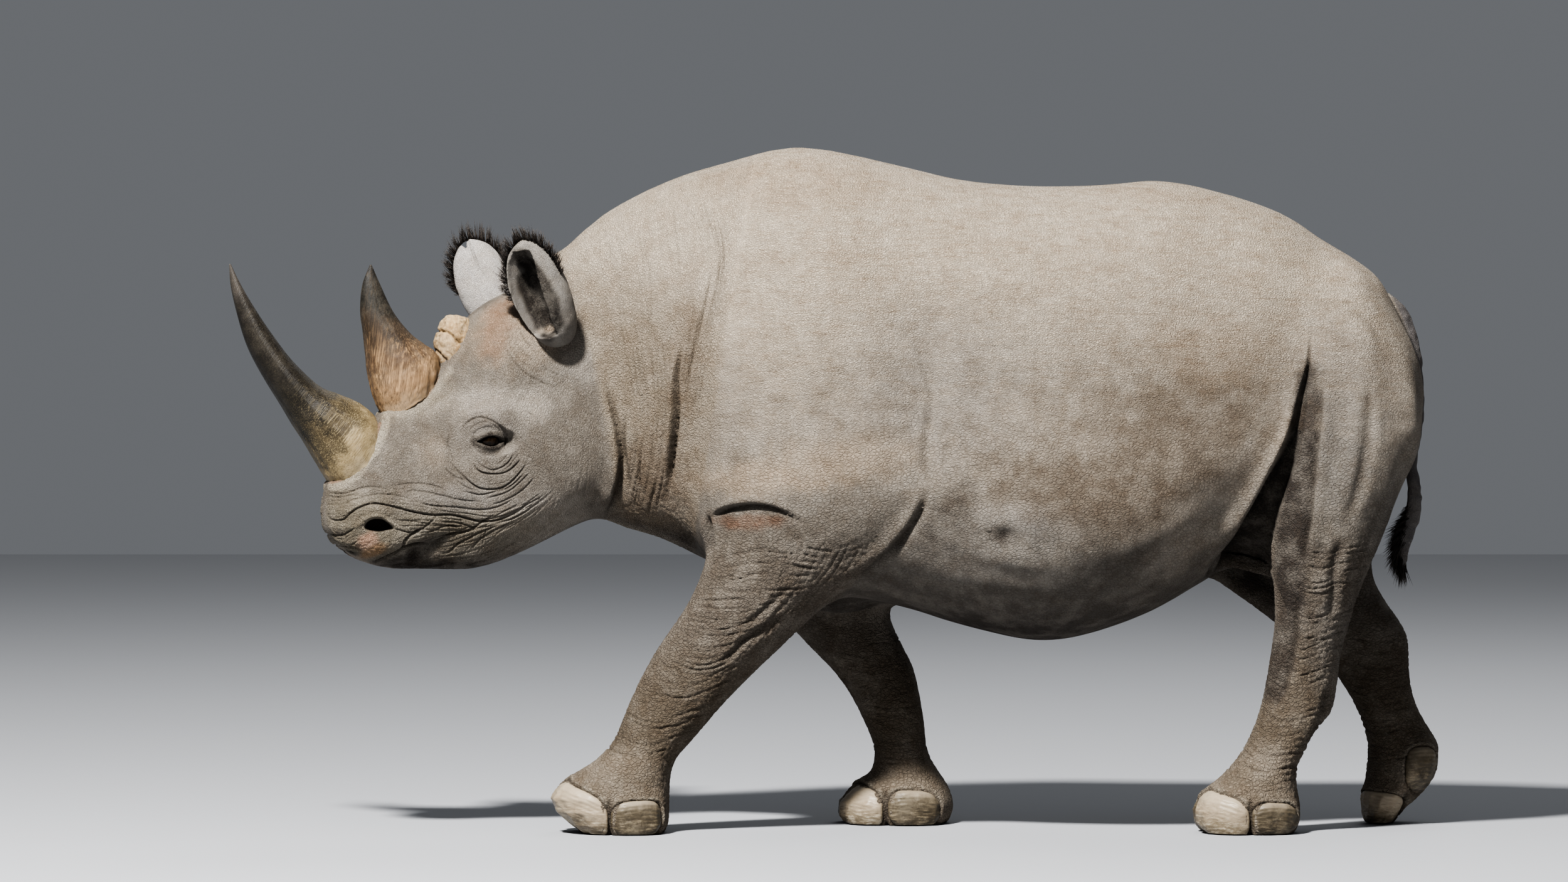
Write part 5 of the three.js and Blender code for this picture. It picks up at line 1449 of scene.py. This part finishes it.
def makeGrain():
    # the finest roughness of hide and keratin
    group, given, out = newGroup("fine grain", {"Vector": None, "Scale": 600.0}, "Height")
    fine = noise(group, given.outputs["Vector"], given.outputs["Scale"], 4.0, Roughness=0.7)
    group.links.new(fine, out.inputs["Height"])
    return group


platesGroup, dustGroup, grainGroup = makePlates(), makeDust(), makeGrain()


def place(tree, group, **sockets):
    node = tree.nodes.new("ShaderNodeGroup")
    node.node_tree = group
    for label, value in sockets.items():
        feed(tree, node.inputs[label], value)
    return node.outputs[0]


def newLook(name, **shaderValues):
    look = bpy.data.materials.new(name)
    look.use_nodes = True
    shader = look.node_tree.nodes["Principled BSDF"]
    for label, value in shaderValues.items():
        shader.inputs[label.replace("_", " ")].default_value = value
    where = look.node_tree.nodes.new("ShaderNodeTexCoord").outputs["Object"]
    return look, look.node_tree, shader, where


hideFinish = {
    "shader": {"Roughness": 0.82, "Specular_IOR_Level": 0.28},
    # small plates: cells to a metre along x, y and z, and how wide the lines between them are
    "mosaic": {"Stretch": (98, 98, 138), "Line": 0.20}, "small": {"Stretch": (360, 360, 420), "Line": 0.30},
    "flat": {"Stretch": (150, 150, 270), "Line": 0.28}, "tall": {"Stretch": (230, 230, 140), "Line": 0.26},
    "smallShare": 0.6, "plateBump": 0.0025, "grain": 520.0, "grainBump": 0.0008,
    "lineColour": (0.050, 0.036, 0.025), "lineShare": 0.37,
    "strands": (20, 20, 220), "strandColour": (0.64, 0.55, 0.46), "strandShare": 0.42,
    "mottle": 26.0, "mottleColour": (0.62, 0.51, 0.41), "mottleShare": 0.34,
    "dust": {"Scale": 14.0, "Amount": 0.16}, "dustColour": (0.50, 0.46, 0.40),
    "specks": 190.0, "speckColour": (0.10, 0.07, 0.045), "speckShare": 0.35,
    # colour and share of the painted shade in the creases
    "creaseShadeColour": (0.028, 0.020, 0.014), "creaseShadeShare": 0.62,
    "roughness": (0.72, 0.9),
}


def makeHideLook():
    rule = hideFinish
    look, tree, shader, where = newLook("hide", **rule["shader"])
    tint, creaseShade = stored(tree, "tint", "Color"), stored(tree, "creaseShade")
    level, upright, plated = put(tree, "SeparateColor", Color=stored(tree, "lie", "Color")).outputs[:3]
    mosaic, small, flat, tall = [place(tree, platesGroup, Vector=where, **rule[name])
                                 for name in ("mosaic", "small", "flat", "tall")]
    height, whole = sums(tree, "MULTIPLY", small, rule["smallShare"]), rule["smallShare"]
    for pattern, weight in ((mosaic, plated), (tall, upright), (flat, level)):
        height = sums(tree, "ADD", height, sums(tree, "MULTIPLY", pattern, weight))
        whole = sums(tree, "ADD", weight, whole)
    grain = place(tree, grainGroup, Vector=where, Scale=rule["grain"])
    # darker in the lines, warmer and paler in patches
    lined = sums(tree, "SUBTRACT", whole, height, True)
    colour = blendColour(tree, sums(tree, "MULTIPLY", lined, rule["lineShare"]), tint,
                         rule["lineColour"], "MIX")
    strands = noise(tree, mapped(tree, where, Scale=rule["strands"]), 1.0, 5.0, Roughness=0.65)
    streaky = sums(tree, "MULTIPLY", spread(tree, strands, 0.46, 0.66, 0.0, rule["strandShare"]), level)
    colour = blendColour(tree, streaky, colour, rule["strandColour"], "MULTIPLY")
    mottle = noise(tree, where, rule["mottle"], 6.0, Roughness=0.65)
    mottled = spread(tree, mottle, 0.38, 0.72, 0.0, rule["mottleShare"])
    colour = blendColour(tree, mottled, colour, rule["mottleColour"], "MULTIPLY")
    colour = blendColour(tree, place(tree, dustGroup, Vector=where, **rule["dust"]), colour,
                         rule["dustColour"])
    speck = noise(tree, where, rule["specks"], 3.0, Roughness=0.6)
    colour = blendColour(tree, spread(tree, speck, 0.60, 0.74, 0.0, rule["speckShare"]), colour,
                         rule["speckColour"])
    # painted shade in the creases
    creaseShaded = sums(tree, "MULTIPLY", creaseShade, rule["creaseShadeShare"], True)
    colour = blendColour(tree, creaseShaded, colour, rule["creaseShadeColour"])
    tree.links.new(colour, shader.inputs["Base Color"])
    tree.links.new(spread(tree, mottle, 0.3, 0.7, *rule["roughness"]), shader.inputs["Roughness"])
    broad = put(tree, "Bump", Strength=1.0, Distance=rule["plateBump"], Height=height)
    detail = put(tree, "Bump", Strength=0.5, Distance=rule["grainBump"], Height=grain,
                 Normal=broad.outputs["Normal"])
    tree.links.new(detail.outputs["Normal"], shader.inputs["Normal"])
    return look


keratin = {
    # stops: share of the length from the tip, and its colour; stretch and slant: how the fibres are
    # drawn out; fibresFrom: the shares of the length where the pale fibres begin and are full
    "front horn": {
        "stops": [(0.0, (0.05, 0.044, 0.039)), (0.3, (0.012, 0.01, 0.008)), (0.6, (0.013, 0.011, 0.008)),
                  (0.74, (0.065, 0.05, 0.028)), (0.86, (0.19, 0.145, 0.08)), (1.0, (0.32, 0.265, 0.18))],
        "fibres": (0.27, 0.22, 0.13), "roughness": 0.4, "stretch": (420, 420, 13), "slant": -40,
        "fibresFrom": (0.42, 0.88), "dust": 0.03, "bump": 0.0016},
    "rear horn": {
        "stops": [(0.0, (0.014, 0.013, 0.012)), (0.22, (0.013, 0.012, 0.01)), (0.42, (0.03, 0.021, 0.014)),
                  (0.66, (0.082, 0.052, 0.031)), (0.84, (0.18, 0.116, 0.066)), (1.0, (0.25, 0.182, 0.118))],
        "fibres": (0.31, 0.205, 0.11), "roughness": 0.5, "stretch": (260, 260, 6), "slant": -8,
        "fibresFrom": (0.3, 0.8), "dust": 0.05, "bump": 0.0016},
    "stub horn": {
        "stops": [(0.0, (0.26, 0.19, 0.112)), (0.4, (0.22, 0.15, 0.08)), (0.8, (0.16, 0.104, 0.054)),
                  (1.0, (0.24, 0.172, 0.104))],
        "fibres": (0.32, 0.245, 0.15), "roughness": 0.7, "stretch": (130, 130, 90), "slant": 0,
        "fibresFrom": (-0.6, 0.1), "dust": 0.2, "bump": 0.003},
    "middle toenail": {
        "stops": [(0.0, (0.27, 0.23, 0.175)), (0.4, (0.22, 0.18, 0.13)), (0.75, (0.14, 0.113, 0.077)),
                  (1.0, (0.08, 0.063, 0.042))],
        "fibres": (0.37, 0.33, 0.26), "roughness": 0.34, "stretch": (44, 44, 230), "slant": 0,
        "fibresFrom": (0.0, 0.9), "dust": 0.12, "bump": 0.0008},
    # the side nails: darker copies of the nail colours, painted shade for nails that face away from the light
    "side toenail in shade": {
        "stops": [(0.0, (0.19, 0.16, 0.12)), (0.3, (0.07, 0.057, 0.039)), (0.7, (0.05, 0.04, 0.027)),
                  (1.0, (0.04, 0.032, 0.022))],
        "fibres": (0.17, 0.14, 0.095), "roughness": 0.38, "stretch": (44, 44, 230), "slant": 0,
        "fibresFrom": (0.0, 0.9), "dust": 0.12, "bump": 0.0008},
}


# what all horns and nails share
keratinFinish = {"shine": 0.26, "wander": 30.0, "crackShare": 0.75, "crackColour": (0.03, 0.022, 0.016),
                 "dustScale": 22.0, "dustColour": (0.50, 0.44, 0.34), "grain": 420.0, "grainBump": 0.0005}


def makeKeratinLook(name):
    rule, common = keratin[name], keratinFinish
    stops, roughness = rule["stops"], rule["roughness"]
    look, tree, shader, where = newLook(name, Roughness=roughness, Specular_IOR_Level=common["shine"])
    run = stored(tree, "run")
    inHead = mapped(tree, where, Rotation=(0, 0, math.radians(-headTurn["yaw"])))
    slanted = mapped(tree, inHead, Rotation=(0, math.radians(rule["slant"]), 0))
    streaks = noise(tree, mapped(tree, slanted, Scale=rule["stretch"]), 1.0, 6.0, Roughness=0.7)
    wander = noise(tree, where, common["wander"], 4.0)
    shifted = sums(tree, "ADD", run, spread(tree, wander, 0.3, 0.7, -0.05, 0.05))
    ramp = put(tree, "ValToRGB", Fac=shifted)
    ramp.color_ramp.interpolation = "EASE"
    elements = ramp.color_ramp.elements
    elements[0].position, elements[0].color = stops[0][0], (*stops[0][1], 1)
    elements[1].position, elements[1].color = stops[-1][0], (*stops[-1][1], 1)
    for at, colour in stops[1:-1]:
        elements.new(at).color = (*colour, 1)
    near = spread(tree, run, *rule["fibresFrom"], 0.06, 0.85)
    mask = sums(tree, "MULTIPLY", spread(tree, streaks, 0.48, 0.66), near)
    colour = blendColour(tree, mask, ramp.outputs["Color"], rule["fibres"])
    dark = sums(tree, "MULTIPLY", spread(tree, streaks, 0.47, 0.34), near)
    colour = blendColour(tree, sums(tree, "MULTIPLY", dark, common["crackShare"]), colour,
                         common["crackColour"])
    dusty = place(tree, dustGroup, Vector=where, Scale=common["dustScale"], Amount=rule["dust"])
    colour = blendColour(tree, dusty, colour, common["dustColour"])
    tree.links.new(colour, shader.inputs["Base Color"])
    tree.links.new(spread(tree, streaks, 0.3, 0.7, roughness - 0.08, roughness + 0.22),
                   shader.inputs["Roughness"])
    grain = place(tree, grainGroup, Vector=where, Scale=common["grain"])
    ridges = put(tree, "Bump", Strength=0.7, Distance=rule["bump"], Height=streaks)
    detail = put(tree, "Bump", Strength=0.3, Distance=common["grainBump"], Height=grain,
                 Normal=ridges.outputs["Normal"])
    tree.links.new(detail.outputs["Normal"], shader.inputs["Normal"])
    return look


hideLook = makeHideLook()
frontHornLook, rearHornLook, stubLook, nailLook, shadedSideNailLook = [makeKeratinLook(name) for name in keratin]


eyeFinish = {"shader": {"Roughness": 0.06, "Specular_IOR_Level": 0.16, "Coat_Weight": 0.08,
                        "Coat_Roughness": 0.03},
             "veins": 160.0, "colours": ((0.004, 0.003, 0.002), (0.014, 0.008, 0.004)),
             "roughness": (0.04, 0.12)}


def makeEyeLook():
    rule = eyeFinish
    look, tree, shader, where = newLook("eye", **rule["shader"])
    veins = noise(tree, where, rule["veins"], 4.0)
    colour = blendColour(tree, spread(tree, veins, 0.35, 0.7), *rule["colours"])
    tree.links.new(colour, shader.inputs["Base Color"])
    tree.links.new(spread(tree, veins, 0.3, 0.7, *rule["roughness"]), shader.inputs["Roughness"])
    return look


bristleFinish = {"shader": {"Roughness": 0.45, "Specular_IOR_Level": 0.4},
                 "colours": ((0.012, 0.010, 0.009), (0.055, 0.045, 0.038)), "roughness": (0.35, 0.6)}


def makeBristleLook():
    rule = bristleFinish
    look, tree, shader = newLook("bristle", **rule["shader"])[:3]
    tone = stored(tree, "tone")
    tree.links.new(blendColour(tree, tone, *rule["colours"]), shader.inputs["Base Color"])
    tree.links.new(spread(tree, tone, 0, 1, *rule["roughness"]), shader.inputs["Roughness"])
    return look


eyeLook, bristleLook = makeEyeLook(), makeBristleLook()
print("finishes made")

# camera, floor and light
aim = Vector(sketch["aim"])
tilt = math.radians(sketch["tilt"])
cameraData = bpy.data.cameras.new("camera")
cameraData.sensor_width = 36
cameraData.lens = 36 * sketch["distance"] / sketch["dot"] / sketch["width"]
cameraData.clip_end = 200
camera = placed("camera", cameraData)
camera.location = aim - sketch["distance"] * Vector((0, math.cos(tilt), -math.sin(tilt)))
camera.rotation_euler = (math.pi / 2 - tilt, 0, 0)
bpy.context.scene.camera = camera
bpy.context.scene.view_settings.look = "AgX - High Contrast"

studio = {
    "key": {"from": (-2.9, -6.7, 8.7), "size": 0.9, "power": 3650, "colour": (1.0, 0.975, 0.94)},
    "fill": {"from": (4.5, -8.0, 2.6), "size": 5.0, "power": 42, "colour": (0.92, 0.96, 1.0)},
    "back": {"from": (2.0, 6.0, 6.5), "size": 4.0, "power": 140, "colour": (1.0, 1.0, 1.0)},
}
for name, lamp in studio.items():
    data = bpy.data.lights.new(name, "AREA")
    data.size, data.energy, data.color = lamp["size"], lamp["power"], lamp["colour"]
    light = placed(name, data)
    light.location = lamp["from"]
    light.rotation_euler = (Vector((0, 0, 0.8)) - Vector(lamp["from"])).to_track_quat("-Z", "Y").to_euler()
world = bpy.data.worlds.new("studio")
bpy.context.scene.world = world
world.use_nodes = True
sky = {"colour": (0.80, 0.83, 0.88), "strength": 0.19}
background = world.node_tree.nodes["Background"]
background.inputs["Color"].default_value = (*sky["colour"], 1)
background.inputs["Strength"].default_value = sky["strength"]

ground = {"half": 14, "height": -0.001, "colour": (0.30, 0.31, 0.33), "roughness": 0.8}
half, level = ground["half"], ground["height"]
corners = [(-half, -half, level), (half, -half, level), (half, half, level), (-half, half, level)]
floor = newPiece("floor", corners, [(0, 1, 2, 3)])
floorLook = newLook("pale floor", Base_Color=(*ground["colour"], 1), Roughness=ground["roughness"])[0]
floor.data.materials.append(floorLook)


def dress(piece, look, slot, *nodes):
    piece.data.materials.clear()
    piece.data.materials.append(look)
    piece.data.shade_smooth()
    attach(piece, "root")
    if nodes:
        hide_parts(*nodes)


dress(skin, hideLook, "hide", "torso", "neck", "head", "tail", "ear_left", "ear_right", *legNodes)
dress(frontHorn, frontHornLook, "horn_front", "horn_front")
dress(rearHorn, rearHornLook, "horn_rear", "horn_rear")
dress(stubHorn, stubLook, "horn_stub", "horn_stub")
for piece, node in zip(eyeballs, ("eye_left", "eye_right")):
    dress(piece, eyeLook, "eye", node)
for node, piece in nails.items():
    dress(piece, nailLook if node.endswith("middle") else shadedSideNailLook, "nail", node)
for piece in bristles:
    dress(piece, bristleLook, "tail_hair")

print("pieces placed")
